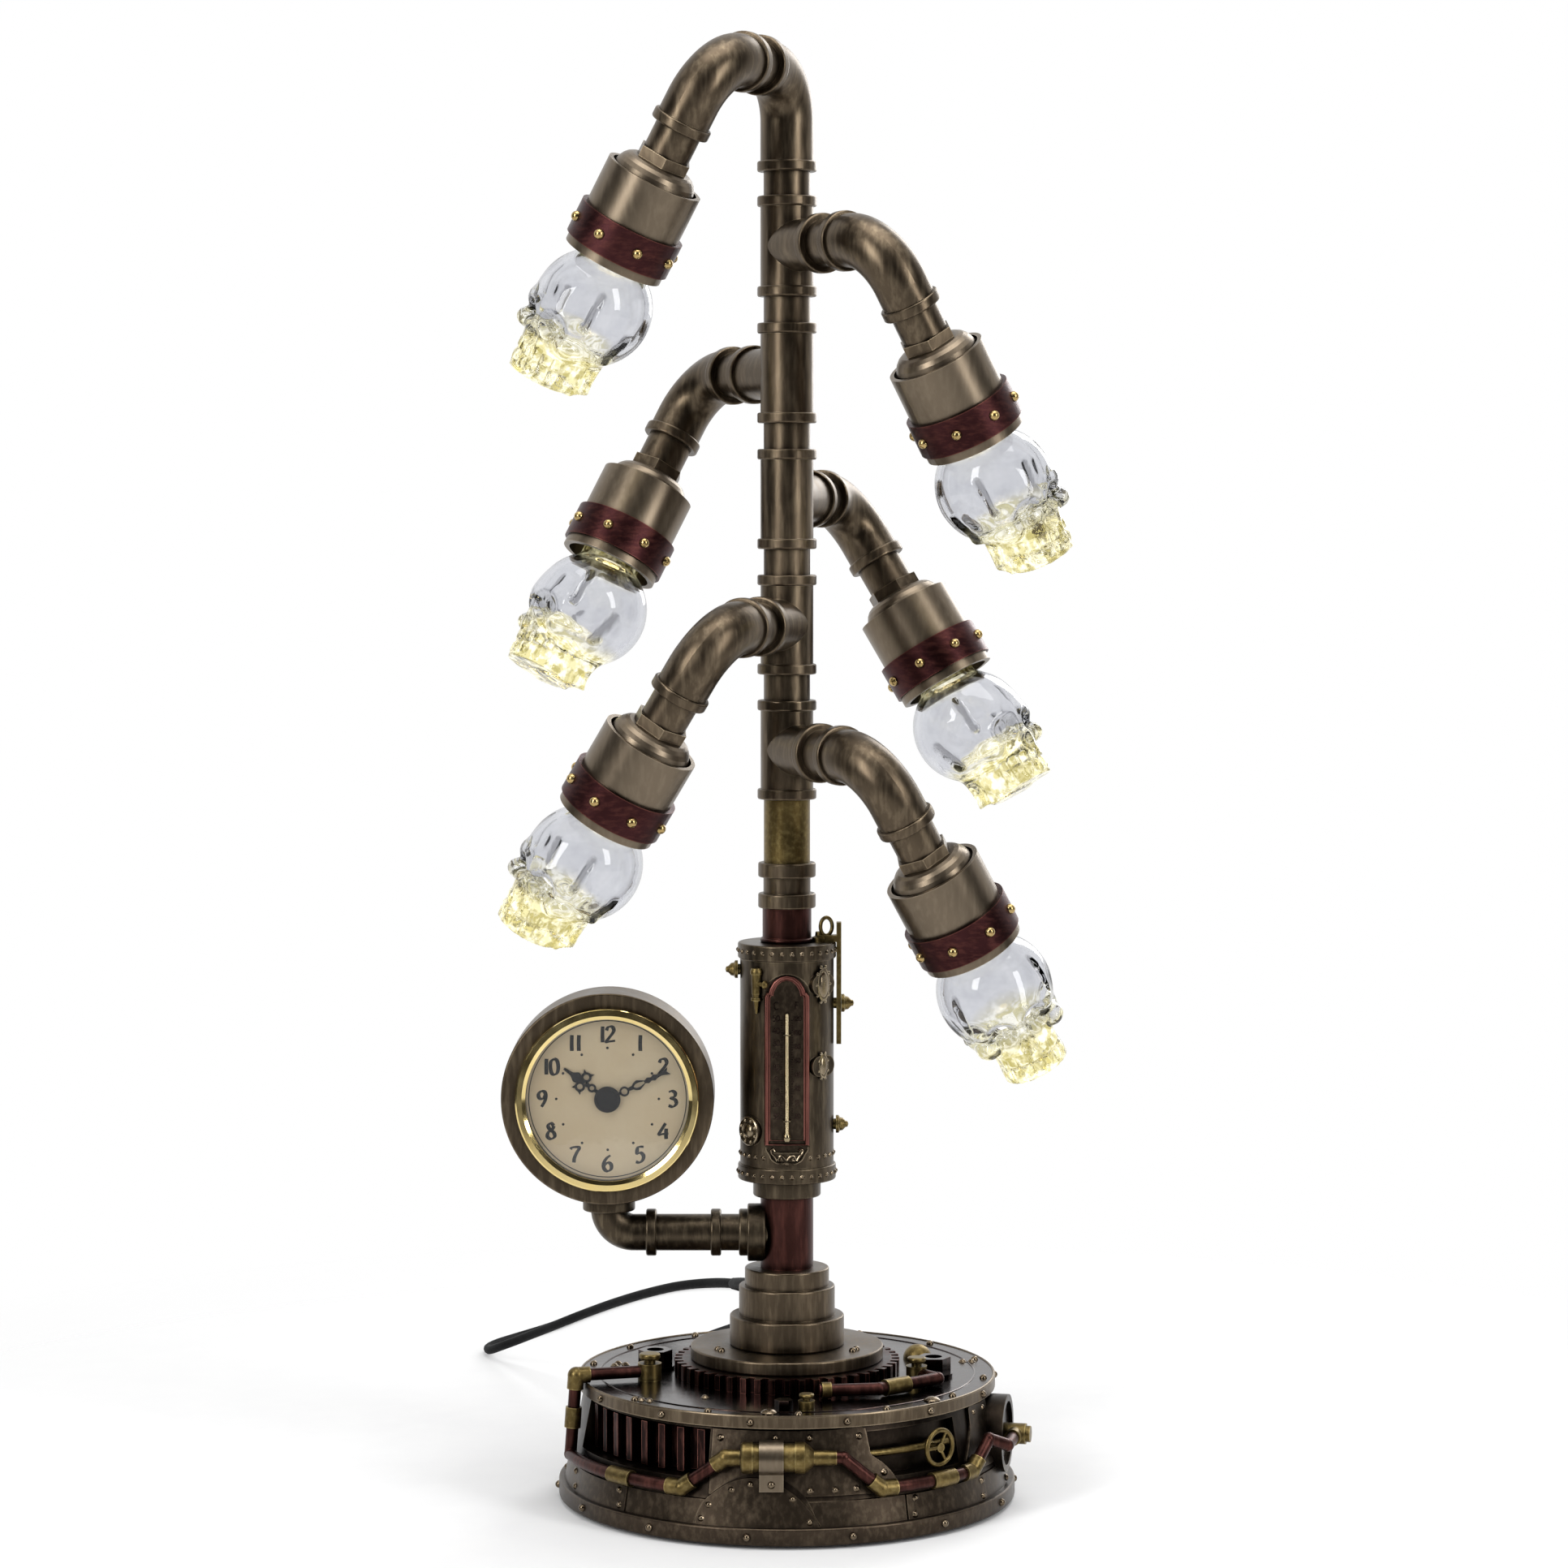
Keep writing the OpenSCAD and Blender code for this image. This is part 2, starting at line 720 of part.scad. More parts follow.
module neck_collar() {
    color(bronze) difference() {
        translate([0, 0, disc_top]) {
            eased_ring(neck_flange_r, tie_bore, neck_flange_h);
            eased_ring(neck_r, tie_bore, neck_flange_h + neck_h);
            eased_ring(cap_r, tie_bore, neck_flange_h + neck_h + cap_h);
        }
        outward(gland_angle + 90, gland_seat, gland_z) cylinder(r = gland_flange_r + 2 * fit, h = neck_r);
        outward(gland_angle + 90, gland_seat - gland_spigot, gland_z)
            cylinder(r = gland_spigot_r + fit, h = neck_r);
    }
}

washer_r = lid_nut_r + 1;
washer_h = 1.5;
lid_nut_h = 8.5;
small_nut_r = 4;
small_nut_h = 4;

// A hex nut on its washer, with a blind hole in its top
module lid_nut() {
    difference() {
        union() {
            cylinder(r = washer_r, h = washer_h);
            cylinder(r = lid_nut_r, h = lid_nut_h, $fn = 6);
        }
        translate([0, 0, lid_nut_h / 2]) cylinder(r = lid_nut_r / 2, h = lid_nut_h);
    }
}

module lid_nuts() {
    color(dark_bronze) {
        translate(place(gear_r + washer_r + 0.5, -96, lid_top)) lid_nut();
        translate(place(gear_r + washer_r + 7, 82, lid_top)) lid_nut();
        translate([-1.4, -75.8, lid_top]) cylinder(r = small_nut_r, h = small_nut_h, $fn = 6);
    }
}

// Trim pipes

// The angle round Z at which the outside of a route's bend lies
function outside(points, i) = let (
        inward = unit(points[i - 1] - points[i]) + unit(points[i + 1] - points[i])
    ) atan2(-inward[1], -inward[0]);

module chain(points, r) {
    for (i = [0 : len(points) - 2]) rod(points[i], points[i + 1], r);
    for (i = [1 : len(points) - 2])
        translate(points[i]) rotate([0, 0, outside(points, i)]) sphere(r = r + trim_joint);
}

module low_arc(from, to, r) {
    rotate([0, 0, from - 90]) rotate_extrude(angle = to - from)
        translate([low_pipe_r, low_pipe_z]) circle(r = r);
}

module copper_routes(r) {
    for (route = [left_drop, left_rise, right_fall, right_rise, lid_route]) chain(route, r);
    low_arc(left_angle, left_end, r);
    low_arc(right_start, right_end, r);
    for (p = [left_drop[2], left_rise[0], right_fall[2], right_rise[0]])
        translate(p) sphere(r = r + trim_joint);
}

module copper_pipes() {
    color(copper) copper_routes(trim_r);
}

// A hollow sleeve over part of the leg from one point to another
module sleeve(p, q, from, to) {
    d = unit(q - p);
    difference() {
        rod(p + from * d, p + to * d, trim_out);
        rod(p + (from - over) * d, p + (to + over) * d, trim_r + fit);
    }
}

// The second leg of a hollow elbow is a little wider than the first
leg_step = 0.03;

// A hollow elbow over the corner between two legs
module trim_elbow(p, corner, q) {
    difference() {
        union() {
            rod(corner, corner + elbow_leg * unit(p - corner), trim_out);
            rod(corner, corner + elbow_leg * unit(q - corner), trim_out + leg_step);
            translate(corner) sphere(r = trim_out + trim_joint);
        }
        rod(corner, corner + (elbow_leg + over) * unit(p - corner), trim_r + fit);
        rod(corner, corner + (elbow_leg + over) * unit(q - corner), trim_r + fit + leg_step);
        translate(corner) sphere(r = trim_r + trim_joint + fit);
    }
}

// A hollow elbow over the corner where the low pipe ends and a leg goes on to q
module low_elbow(a, way, q) {
    corner = place(low_pipe_r, a, low_pipe_z);
    difference() {
        union() {
            low_arc(min(a, a + way * sleeve_span), max(a, a + way * sleeve_span), trim_out);
            rod(corner, corner + elbow_leg * unit(q - corner), trim_out);
            translate(corner) sphere(r = trim_out + trim_joint);
        }
        low_arc(min(a, a + way * 2 * sleeve_span), max(a, a + way * 2 * sleeve_span), trim_r + fit);
        rod(corner, corner + (elbow_leg + over) * unit(q - corner), trim_r + fit);
        translate(corner) sphere(r = trim_r + trim_joint + fit);
    }
}

// A hollow sleeve on the low pipe
module low_sleeve(a) {
    rotate([0, 0, a - sleeve_span - 90]) rotate_extrude(angle = 2 * sleeve_span)
        translate([low_pipe_r, low_pipe_z]) difference() {
            circle(r = trim_out);
            circle(r = trim_r + fit);
        }
}

// A round boss with a capped stem on top
module knob(r, h) {
    cylinder(r = r, h = h);
    cylinder(r = r / 2, h = h + r / 2);
    translate([0, 0, h + r / 3]) eased_ring(r * 0.9, 0, r / 2);
}

// A boss that the end of a trim pipe runs into
module pipe_boss(at, next, r) {
    difference() {
        translate([at[0], at[1], lid_top]) knob(r, at[2] - lid_top + trim_out);
        rod(at - fit * unit(next - at), at + 3 * r * unit(next - at), trim_r + fit);
    }
}

left_sleeve = -46;
sleeve_span = 3.8;
dome_at = [59, 27];
dome_size = 6.5;
boss_size = 5.2;
front_knob_r = 3.6;
valve_tip = 2;

module side_valve() {
    outward(port_angle, port_floor, port_z) {
        cylinder(r = valve_r, h = valve_out + valve_r - port_floor);
        cylinder(r = valve_r - 1, h = valve_out + valve_r + valve_tip - port_floor);
    }
    rod(port_point([valve_out, 0, 0]), right_rise[3], trim_out);
}

module wheel_pipe() {
    difference() {
        union() {
            rotate([0, 0, recess_from - 90]) rotate_extrude(angle = recess_to - recess_from)
                translate([wheel_pipe_out, wheel_z]) circle(r = wheel_pipe_r);
            translate(place(wheel_pipe_out, wheel_angle, wheel_z)) sphere(r = wheel_pipe_r * 1.7);
        }
        outward(wheel_angle, recess_r, wheel_z) cylinder(r = wheel_stem_r + fit, h = wheel_out - recess_r);
    }
}

module brass_fittings() {
    color(brass) {
        pipe_boss(left_drop[0], left_drop[1], boss_size);
        trim_elbow(left_drop[0], left_drop[1], left_drop[2]);
        sleeve(left_drop[1], left_drop[2], 14, 23);
        low_sleeve(left_sleeve);
        low_elbow(left_end, -1, left_rise[1]);
        trim_elbow(left_rise[0], left_rise[1], left_rise[2]);
        low_elbow(right_start, 1, right_fall[1]);
        low_sleeve(wheel_angle);
        low_elbow(right_end, -1, right_rise[1]);
        side_valve();
        sleeve(lid_route[0], lid_route[1], 1, 5);
        sleeve(lid_route[1], lid_route[2], 3, 16);
        pipe_boss(lid_route[3], lid_route[2], valve_r);
        translate([dome_at[0], dome_at[1], lid_top]) rivet(dome_size);
        translate([front_knob[0], front_knob[1], lid_top]) knob(front_knob_r, 4);
        wheel_pipe();
    }
}

module pressure_cylinder() {
    l = cylinder_len;
    color(brass) translate([cylinder_x, cylinder_y, cylinder_z]) rotate([0, 90, 0]) rotate_extrude()
        polygon([[0, 0], [cylinder_r - ease, 0], [cylinder_r, ease], [cylinder_r, 5], [cylinder_body_r, 5],
            [cylinder_body_r, l - 6], [cylinder_r, l - 6], [cylinder_r, l - 2], [cylinder_r - 1.5, l],
            [nipple_r, l + 2], [nipple_r, l + nipple_len], [0, l + nipple_len]]);
}

tongue_z = low_pipe_z;
tongue_rise = 2.2;
tongue_depth = 20;

module cylinder_strap() {
    $fn = 144;
    x = cylinder_x + strap_from;
    color(bronze) difference() {
        union() {
            translate([x, cylinder_y, cylinder_z]) rotate([0, 90, 0])
                cylinder(r = cylinder_body_r + strap_t, h = strap_w);
            translate([x, -skirt_at(tongue_z) - tongue_rise, tongue_z])
                cube([strap_w, tongue_depth, cylinder_z - tongue_z]);
        }
        translate([cylinder_x, cylinder_y, cylinder_z]) rotate([0, 90, 0])
            cylinder(r = cylinder_body_r + fit, h = cylinder_len);
        skirt_cone(front_plate_rise + fit);
    }
}

module handwheel() {
    color(brass) outward(wheel_angle, recess_r, wheel_z) {
        cylinder(r = wheel_stem_r, h = wheel_out - recess_r);
        translate([0, 0, wheel_out - recess_r]) {
            rotate_extrude() translate([wheel_r - wheel_rim, 0]) circle(r = wheel_rim);
            for (a = [30 : 120 : 270]) rotate([0, 90, a])
                cylinder(r = wheel_rim * 0.7, h = wheel_r - wheel_rim);
            translate([0, 0, -1]) cylinder(r = 2, h = 2);
        }
    }
}

lid_rivet_r = lid_r - 4.5;
disc_rivet_r = disc_r - 9.3;
disc_pairs = [-137, -63, 63, 137];

module base_rivets() {
    pitch = 360 / rivet_n;
    color(gold) {
        for (i = [0 : rivet_n - 1]) {
            a = left_angle + (i + 0.5) * pitch;
            if (i > 0) translate(place(lid_rivet_r, a - pitch / 2, lid_top)) rivet(rivet_r);
            outward(a, lid_r, skirt_top_z + lid_t / 2) rivet(rivet_r);
            outward(a, base_r, plate_z + rim_h / 2) rivet(rivet_r);
        }
        for (a = disc_pairs) for (side = [-3, 3])
            translate(place(disc_rivet_r, a + side, disc_top)) rivet(rivet_r);
    }
}

// Column

module lower_stem() {
    color(copper) translate([0, 0, cap_top]) ring(low_stem_r, tie_bore, low_stem_h);
}

module housing_collar() {
    color(bronze) translate([0, 0, stem_top]) eased_ring(house_collar_r, tie_bore, house_collar_h);
}

// Outline of the arched thermometer frame, drawn in by a margin
module arch(margin) {
    w = frame_w / 2 - margin;
    translate([-w, margin]) square([2 * w, frame_h - frame_w / 2 - margin]);
    translate([0, frame_h - frame_w / 2]) circle(r = w);
}

// Children drawn upright, facing the front and standing on the housing's flat
module on_flat(depth) {
    translate([0, -flat_y - depth, frame_z]) rotate([90, 0, 0]) children();
}

porthole_r = 6.5;
porthole_angle = -50;
porthole_z = 23;
oval_angle = 47;
oval_heights = [52, 88];
oval_r = 4.5;
oval_w = 5;
boss_rise = 1.3;

// Raised bosses on the side of the housing
module housing_bosses() {
    root = house_bore_r + 2;
    depth = house_r + boss_rise - root;
    outward(porthole_angle, root, house_z + porthole_z) cylinder(r = porthole_r, h = depth);
    for (z = oval_heights) outward(oval_angle, root, house_z + z) {
        for (side = [-1, 1]) translate([0, side * oval_w / 2, 0]) cylinder(r = oval_r, h = depth);
        translate([-oval_r, -oval_w / 2, 0]) cube([2 * oval_r, oval_w, depth]);
    }
}

module gauge_housing() {
    color(bronze) difference() {
        union() {
            translate([0, 0, house_z]) cylinder(r = house_r, h = house_h);
            translate([0, 0, house_z]) eased_ring(house_r + house_ring, 0, house_ring_h);
            translate([0, 0, house_top - house_ring_h]) eased_ring(house_r + house_ring, 0, house_ring_h);
            housing_bosses();
        }
        translate([0, 0, house_z - over]) cylinder(r = house_bore_r, h = house_h - house_roof + over);
        translate([0, 0, house_z - over]) cylinder(r = tie_bore, h = house_h + 2 * over);
        on_flat(0) linear_extrude(house_r) arch(-fit);
    }
}

module thermometer_frame() {
    color(dark_bronze) difference() {
        on_flat(0) linear_extrude(frame_depth) arch(0);
        on_flat(frame_back) linear_extrude(frame_depth) arch(frame_border);
    }
}

tube_from = 6.6;
tube_to = 61.6;

module thermometer_tube() {
    color(glass) translate([0, -tube_y, frame_z]) {
        translate([0, 0, tube_from]) cylinder(r = tube_r, h = tube_to - tube_from);
        translate([0, 0, tube_from]) sphere(r = bulb_r);
    }
}

// Side and height of each bolt on the housing
side_bolts = [[-1, 93], [1, 78], [1, 24]];
lever_from = 60;
lever_to = 114;
hook_x = 13;
hook_h = 3;

module housing_fittings() {
    color(brass) {
        difference() {
            for (b = side_bolts) translate([0, 0, house_z + b[1]]) rotate([0, b[0] * 90, 0])
                cylinder(r = bolt_r, h = lever_x);
            translate([0, 0, house_z]) cylinder(r = house_r + fit, h = house_h);
        }
        translate([lever_x, -lever_w / 2, house_z + lever_from])
            cube([lever_t, lever_w, lever_to - lever_from]);
        translate([hook_x, -lever_w / 2, house_top]) cube([lever_x + lever_t - hook_x, lever_w, hook_h]);
    }
}

module upper_stem() {
    color(copper) translate([0, 0, house_top]) {
        eased_ring(up_stem_r + 1, tie_bore, 2);
        ring(up_stem_r, tie_bore, up_stem_h);
    }
}

coupling_waist = coupling_r - 2.3;
coupling_collar = 6.5;

module stem_coupling() {
    color(bronze) translate([0, 0, up_stem_top]) {
        eased_ring(coupling_r, tie_bore, coupling_collar);
        ring(coupling_waist, tie_bore, coupling_h);
        translate([0, 0, coupling_h - coupling_collar]) eased_ring(coupling_r, tie_bore, coupling_collar);
    }
}

module brass_stem() {
    color(brass) difference() {
        translate([0, 0, coupling_top]) cylinder(r = pipe_r, h = brass_stem_h + socket_d);
        translate([0, 0, coupling_top - over]) cylinder(r = tie_bore, h = brass_stem_h);
        translate([0, 0, tie_seat]) cylinder(r = pipe_bore, h = brass_stem_h + socket_d);
    }
}

// Pipework

branch_step = 0.3;

module bead() {
    eased_ring(bead_r, 0, bead_w);
}

module tee() {
    difference() {
        union() {
            translate([0, 0, -tee_len / 2]) cylinder(r = tee_r, h = tee_len);
            for (m = [0, 1]) mirror([0, 0, m]) translate([0, 0, tee_len / 2 - bead_w]) bead();
            rotate([0, 90, 0]) cylinder(r = tee_r - branch_step, h = branch_len);
            rotate([0, 90, 0]) translate([0, 0, branch_len - bead_w]) bead();
        }
        translate([0, 0, -tee_len / 2 - over]) cylinder(r = pipe_bore, h = tee_len + 2 * over);
        for (m = [0, 1]) mirror([0, 0, m]) translate([0, 0, tee_len / 2 - socket_d])
            cylinder(r = socket_r, h = socket_d + over);
        rotate([0, 90, 0]) cylinder(r = pipe_bore - branch_step, h = branch_len + over);
        rotate([0, 90, 0]) translate([0, 0, branch_len - socket_d])
            cylinder(r = socket_r, h = socket_d + over);
    }
}

// A quarter bend between legs along +Y and +Z
module quarter_bend(r) {
    translate([0, bend_r, bend_r]) rotate([90, 0, 90]) rotate([0, 0, 180])
        rotate_extrude(angle = 90) translate([bend_r, 0]) circle(r = r);
}

// An elbow with its corner at the origin, one leg along +Y and the other along +Z
module elbow(y_leg, z_leg) {
    difference() {
        union() {
            quarter_bend(tee_r);
            translate([0, bend_r, 0]) rotate([-90, 0, 0]) cylinder(r = tee_r, h = y_leg - bend_r);
            translate([0, 0, bend_r]) cylinder(r = tee_r, h = z_leg - bend_r);
            translate([0, y_leg - bead_w, 0]) rotate([-90, 0, 0]) bead();
            translate([0, 0, z_leg - bead_w]) bead();
        }
        quarter_bend(pipe_bore);
        translate([0, bend_r, 0]) rotate([-90, 0, 0]) cylinder(r = pipe_bore, h = y_leg - bend_r + over);
        translate([0, 0, bend_r]) cylinder(r = pipe_bore, h = z_leg - bend_r + over);
        translate([0, y_leg - socket_d, 0]) rotate([-90, 0, 0]) cylinder(r = socket_r, h = socket_d + over);
        translate([0, 0, z_leg - socket_d]) cylinder(r = socket_r, h = socket_d + over);
    }
}

module pole_tees() {
    color(bronze) for (i = [1 : tee_count])
        translate([0, 0, arm_z(i)]) rotate([0, 0, arm_azimuth[i]]) tee();
}

module top_elbow() {
    color(bronze) translate([0, 0, top_z]) rotate([180, 0, arm_azimuth[0] + 90]) elbow(top_out, top_leg);
}

// Children in an arm's own frame: the origin is at the elbow's corner and +Z runs down the lamp's axis
module at_arm(i) {
    translate([arm_reach(i) * cos(arm_azimuth[i]), arm_reach(i) * sin(arm_azimuth[i]), arm_z(i)])
        rotate([0, 180 - arm_tilt[i], drop_azimuth(i)]) children();
}

module on_lamps() {
    for (i = [0 : tee_count]) at_arm(i) children();
}

module arm_elbows() {
    color(bronze) for (i = [0 : tee_count])
        at_arm(i) rotate([0, 0, arm_side[i] > 0 ? 0 : 180]) elbow(elbow_in, elbow_out);
}

module nipple(length) {
    ring(pipe_r, pipe_bore, length);
}

module pipe_nipples() {
    pole_gap = tee_pitch - tee_len;
    color(dark_bronze) {
        for (i = [2 : tee_count]) translate([0, 0, arm_z(i) + tee_len / 2 - socket_d])
            nipple(pole_gap + 2 * socket_d);
        translate([0, 0, arm_z(1) + tee_len / 2 - socket_d]) nipple(top_gap + 2 * socket_d);
        for (i = [0 : tee_count]) translate([0, 0, arm_z(i)]) rotate([0, 90, arm_azimuth[i]])
            translate([0, 0, branch_face(i) - socket_d]) nipple(branch_nipple(i) + 2 * socket_d);
        on_lamps() translate([0, 0, elbow_out - socket_d]) nipple(floor_s - elbow_out + socket_d);
    }
}

// Lamps

module hex_nuts() {
    color(bronze) on_lamps() translate([0, 0, nut_s]) difference() {
        cylinder(r = nut_r, h = nut_h, $fn = 6);
        translate([0, 0, -over]) cylinder(r = socket_r, h = nut_h + 2 * over);
    }
}

dome_top_r = pipe_r + 1.6;

module cup_domes() {
    color(bronze) on_lamps() translate([0, 0, dome_s]) rotate_extrude()
        polygon(concat([[socket_r, 0]], [for (a = [0 : 15 : 90])
            [dome_top_r + (dome_r - dome_top_r) * sin(a), dome_h * (1 - cos(a))]], [[socket_r, dome_h]]));
}

module lamp_cups() {
    bore = skull_neck_r + neck_clear;
    color(bronze) on_lamps() rotate_extrude()
        polygon([[cup_in_r, floor_s - cup_lip], [cup_r, floor_s - cup_lip], [cup_r, mouth_s - mouth_h],
            [rim_out_r, mouth_s - mouth_h], [rim_out_r, mouth_s], [cup_in_r, mouth_s],
            [cup_in_r, holder_s + holder_h], [bore, holder_s + holder_h], [bore, holder_s],
            [cup_in_r, holder_s], [cup_in_r, floor_s + cup_floor], [wire_r, floor_s + cup_floor],
            [wire_r, floor_s], [cup_in_r, floor_s]]);
}

module copper_bands() {
    color(copper) on_lamps() translate([0, 0, band_s]) ring(cup_r + band_t, cup_r + fit, band_h);
}

module band_rivets() {
    color(gold) on_lamps() for (i = [0 : band_rivet_n - 1]) rotate([0, 0, i * 360 / band_rivet_n])
        translate([cup_r + band_t, 0, band_s + band_h / 2]) rotate([0, 90, 0]) rivet(band_rivet_r);
}

module led_modules() {
    color(ivory) on_lamps() translate([0, 0, floor_s + cup_floor]) {
        cylinder(r = led_r, h = led_h);
        translate([0, 0, led_h]) rivet(led_r / 2);
    }
}

// Places in the skull's own frame: +X is where the face looks and +Z runs down to the chin
cranium = [-1.5, 0, 22];
brow = [4, 0, 25];
brow_r = skull_r - 4;
jaw_z = 30;
jaw_front = [8, 15.5];
jaw_back = [-5, 13];
eye = [26, 9, 32];
eye_r = 6.5;
nose = [27, 0, 41];
nose_r = 3.5;

module skull() {
    difference() {
        union() {
            translate([0, 0, neck_start]) cylinder(r = skull_neck_r, h = cranium[2] - neck_start);
            translate(cranium) sphere(r = skull_r);
            translate(brow) sphere(r = brow_r);
            for (lobe = [jaw_front, jaw_back]) translate([lobe[0], 0, jaw_z])
                cylinder(r = lobe[1], h = skull_drop - jaw_z);
        }
        translate(cranium) sphere(r = skull_r - skull_wall);
        translate([0, 0, neck_start - over])
            cylinder(r = skull_neck_r - skull_wall, h = cranium[2] - neck_start);
        for (side = [-1, 1]) translate([eye[0], side * eye[1], eye[2]]) sphere(r = eye_r);
        translate(nose) sphere(r = nose_r);
    }
}

module glass_skull(i) {
    color(glass) at_arm(i) translate([0, 0, mouth_s]) rotate([0, 0, face_turn(i)]) skull();
}

// Clock

// Children in the clock's own frame: +Z comes out of the dial and +Y is up
module at_clock() {
    translate([-clock_x, 0, clock_z]) rotate([90, 0, 0]) children();
}

module clock_case() {
    color(bronze) at_clock() translate([0, 0, case_front - case_d]) difference() {
        eased_ring(case_r, 0, case_d);
        translate([0, 0, case_wall]) cylinder(r = case_bore_r, h = case_d);
    }
}

module clock_pipe() {
    collar_z = clock_z - case_r - clock_collar_h / 2;
    color(bronze) difference() {
        union() {
            translate([-clock_x, 0, clock_pipe_z]) {
                translate([clock_bend_r, 0, clock_bend_r]) rotate([90, 0, 0]) rotate([0, 0, 180])
                    rotate_extrude(angle = 90) translate([clock_bend_r, 0]) circle(r = clock_pipe_r);
                translate([0, 0, clock_bend_r])
                    cylinder(r = clock_pipe_r, h = collar_z + clock_collar_h - clock_pipe_z - clock_bend_r);
                translate([clock_bend_r, 0, 0]) rotate([0, 90, 0])
                    cylinder(r = clock_pipe_r, h = clock_x - clock_bend_r);
                for (x = clock_beads) translate([x, 0, 0]) rotate([0, 90, 0])
                    eased_ring(clock_bead_r, 0, bead_w);
            }
            translate([-clock_x, 0, collar_z]) eased_ring(clock_collar_r, 0, clock_collar_h);
            translate([flare_in - low_stem_r - flare_w, 0, clock_pipe_z]) rotate([0, 90, 0])
                eased_ring(flare_r, 0, flare_w);
        }
        at_clock() translate([0, 0, case_front - case_d - over])
            cylinder(r = case_r + fit, h = case_d + 2 * over);
        translate([0, 0, cap_top]) cylinder(r = low_stem_r + fit, h = low_stem_h);
    }
}

module clock_bezel() {
    groove_r = lens_r + fit;
    color(gold) at_clock() translate([0, 0, insert_front]) rotate_extrude()
        polygon(concat([[groove_r, 0], [bezel_r, 0]], eased(bezel_r, bezel_d, 1),
            [[bezel_open_r + 2 * ease, bezel_d], [bezel_open_r, bezel_d - ease], [bezel_open_r, lens_t],
            [groove_r, lens_t]]));
}

module clock_lens() {
    color(glass) at_clock() translate([0, 0, insert_front]) cylinder(r = lens_r, h = lens_t);
}

module clock_dial() {
    color(ivory) at_clock() translate([0, 0, dial_z]) ring(bezel_open_r - fit, hour_post_r + fit, dial_t);
}

module clock_movement() {
    color(steel) at_clock() {
        difference() {
            translate([0, 0, insert_front - can_depth]) cylinder(r = can_r, h = can_depth);
            translate([0, 0, dial_z]) cylinder(r = bezel_open_r, h = dial_sink + over);
        }
        translate([0, 0, dial_z - over])
            cylinder(r = hour_post_r, h = hour_z + hand_t + 0.2 - dial_z + over);
        translate([0, 0, dial_z - over]) cylinder(r = arbor_r, h = minute_z + hand_t - dial_z + over);
    }
}

// A flat clock hand pointing up, with a round hub and a short tail
module hand(length, width, bore) {
    linear_extrude(hand_t) difference() {
        union() {
            polygon([[-width / 2, -hub_r * 1.6], [width / 2, -hub_r * 1.6], [width * 0.7, length * 0.6],
                [0, length], [-width * 0.7, length * 0.6]]);
            circle(r = hub_r);
        }
        circle(r = bore);
    }
}

module minute_hand() {
    color(black) at_clock() translate([0, 0, minute_z]) {
        rotate([0, 0, -minute_turn]) hand(minute_len, 2.4, arbor_r + hand_clear);
        translate([0, 0, hand_t]) cylinder(r = hand_cap_r, h = 0.7);
    }
}

module hour_hand() {
    color(black) at_clock() translate([0, 0, hour_z]) rotate([0, 0, -hour_turn])
        hand(hour_len, 3, hour_post_r + hand_clear);
}

// Cord, switch and plug

module cord_gland() {
    color(black) outward(gland_angle + 90, gland_seat, gland_z) {
        translate([0, 0, -gland_spigot]) cylinder(r = gland_spigot_r, h = gland_spigot);
        cylinder(r = gland_flange_r, h = 3);
        cylinder(r = gland_stub_r, h = gland_out - gland_seat);
    }
}

// A smooth curve through hand-picked points
function spline(p, i, t) = let (a = p[max(i - 1, 0)], b = p[i], c = p[i + 1], d = p[min(i + 2, len(p) - 1)])
    b + t / 2 * (c - a + t * (2 * a - 5 * b + 4 * c - d + t * (3 * b - a - 3 * c + d)));
function smooth(p, steps) = [for (i = [0 : len(p) - 2]) for (k = [0 : steps - 1]) spline(p, i, k / steps),
    p[len(p) - 1]];
function heading(p, i) = unit(p[min(i + 1, len(p) - 1)] - p[max(i - 1, 0)]);

// A cord swept along points, with its ends square to the given headings
module cord(p, sides, from, to) {
    last = len(p) - 1;
    points = [for (i = [0 : last])
        let (t = i == 0 ? from : i == last ? to : heading(p, i))
        let (s = unit(cross(t, [0, 0, 1])), u = cross(s, t))
        for (k = [0 : sides - 1]) let (b = k * 360 / sides) p[i] + cord_d / 2 * (cos(b) * s + sin(b) * u)];
    walls = [for (i = [0 : last - 1]) for (k = [0 : sides - 1])
        let (a = i * sides + k, b = i * sides + (k + 1) % sides)
        for (face = [[a, b, b + sides], [a, b + sides, a + sides]]) face];
    tip = last * sides;
    ends = [for (k = [1 : sides - 2]) for (face = [[0, k + 1, k], [tip, tip + k, tip + k + 1]]) face];
    polyhedron(points = points, faces = concat(walls, ends));
}

cord_sides = 10;
gland_way = [cos(gland_angle), sin(gland_angle), 0];
switch_way = [cos(switch_angle), sin(switch_angle), 0];

module cord_lead() {
    color(black) cord(smooth(lead_points, 2), cord_sides, gland_way, switch_way);
}

module cord_run() {
    color(black) cord(smooth(run_points, 2), cord_sides, switch_way, coil_way(coil_start));
}

module cord_tail() {
    color(black) cord(smooth(tail_points, 2), cord_sides, coil_way(coil_end), [-1, 0, 0]);
}

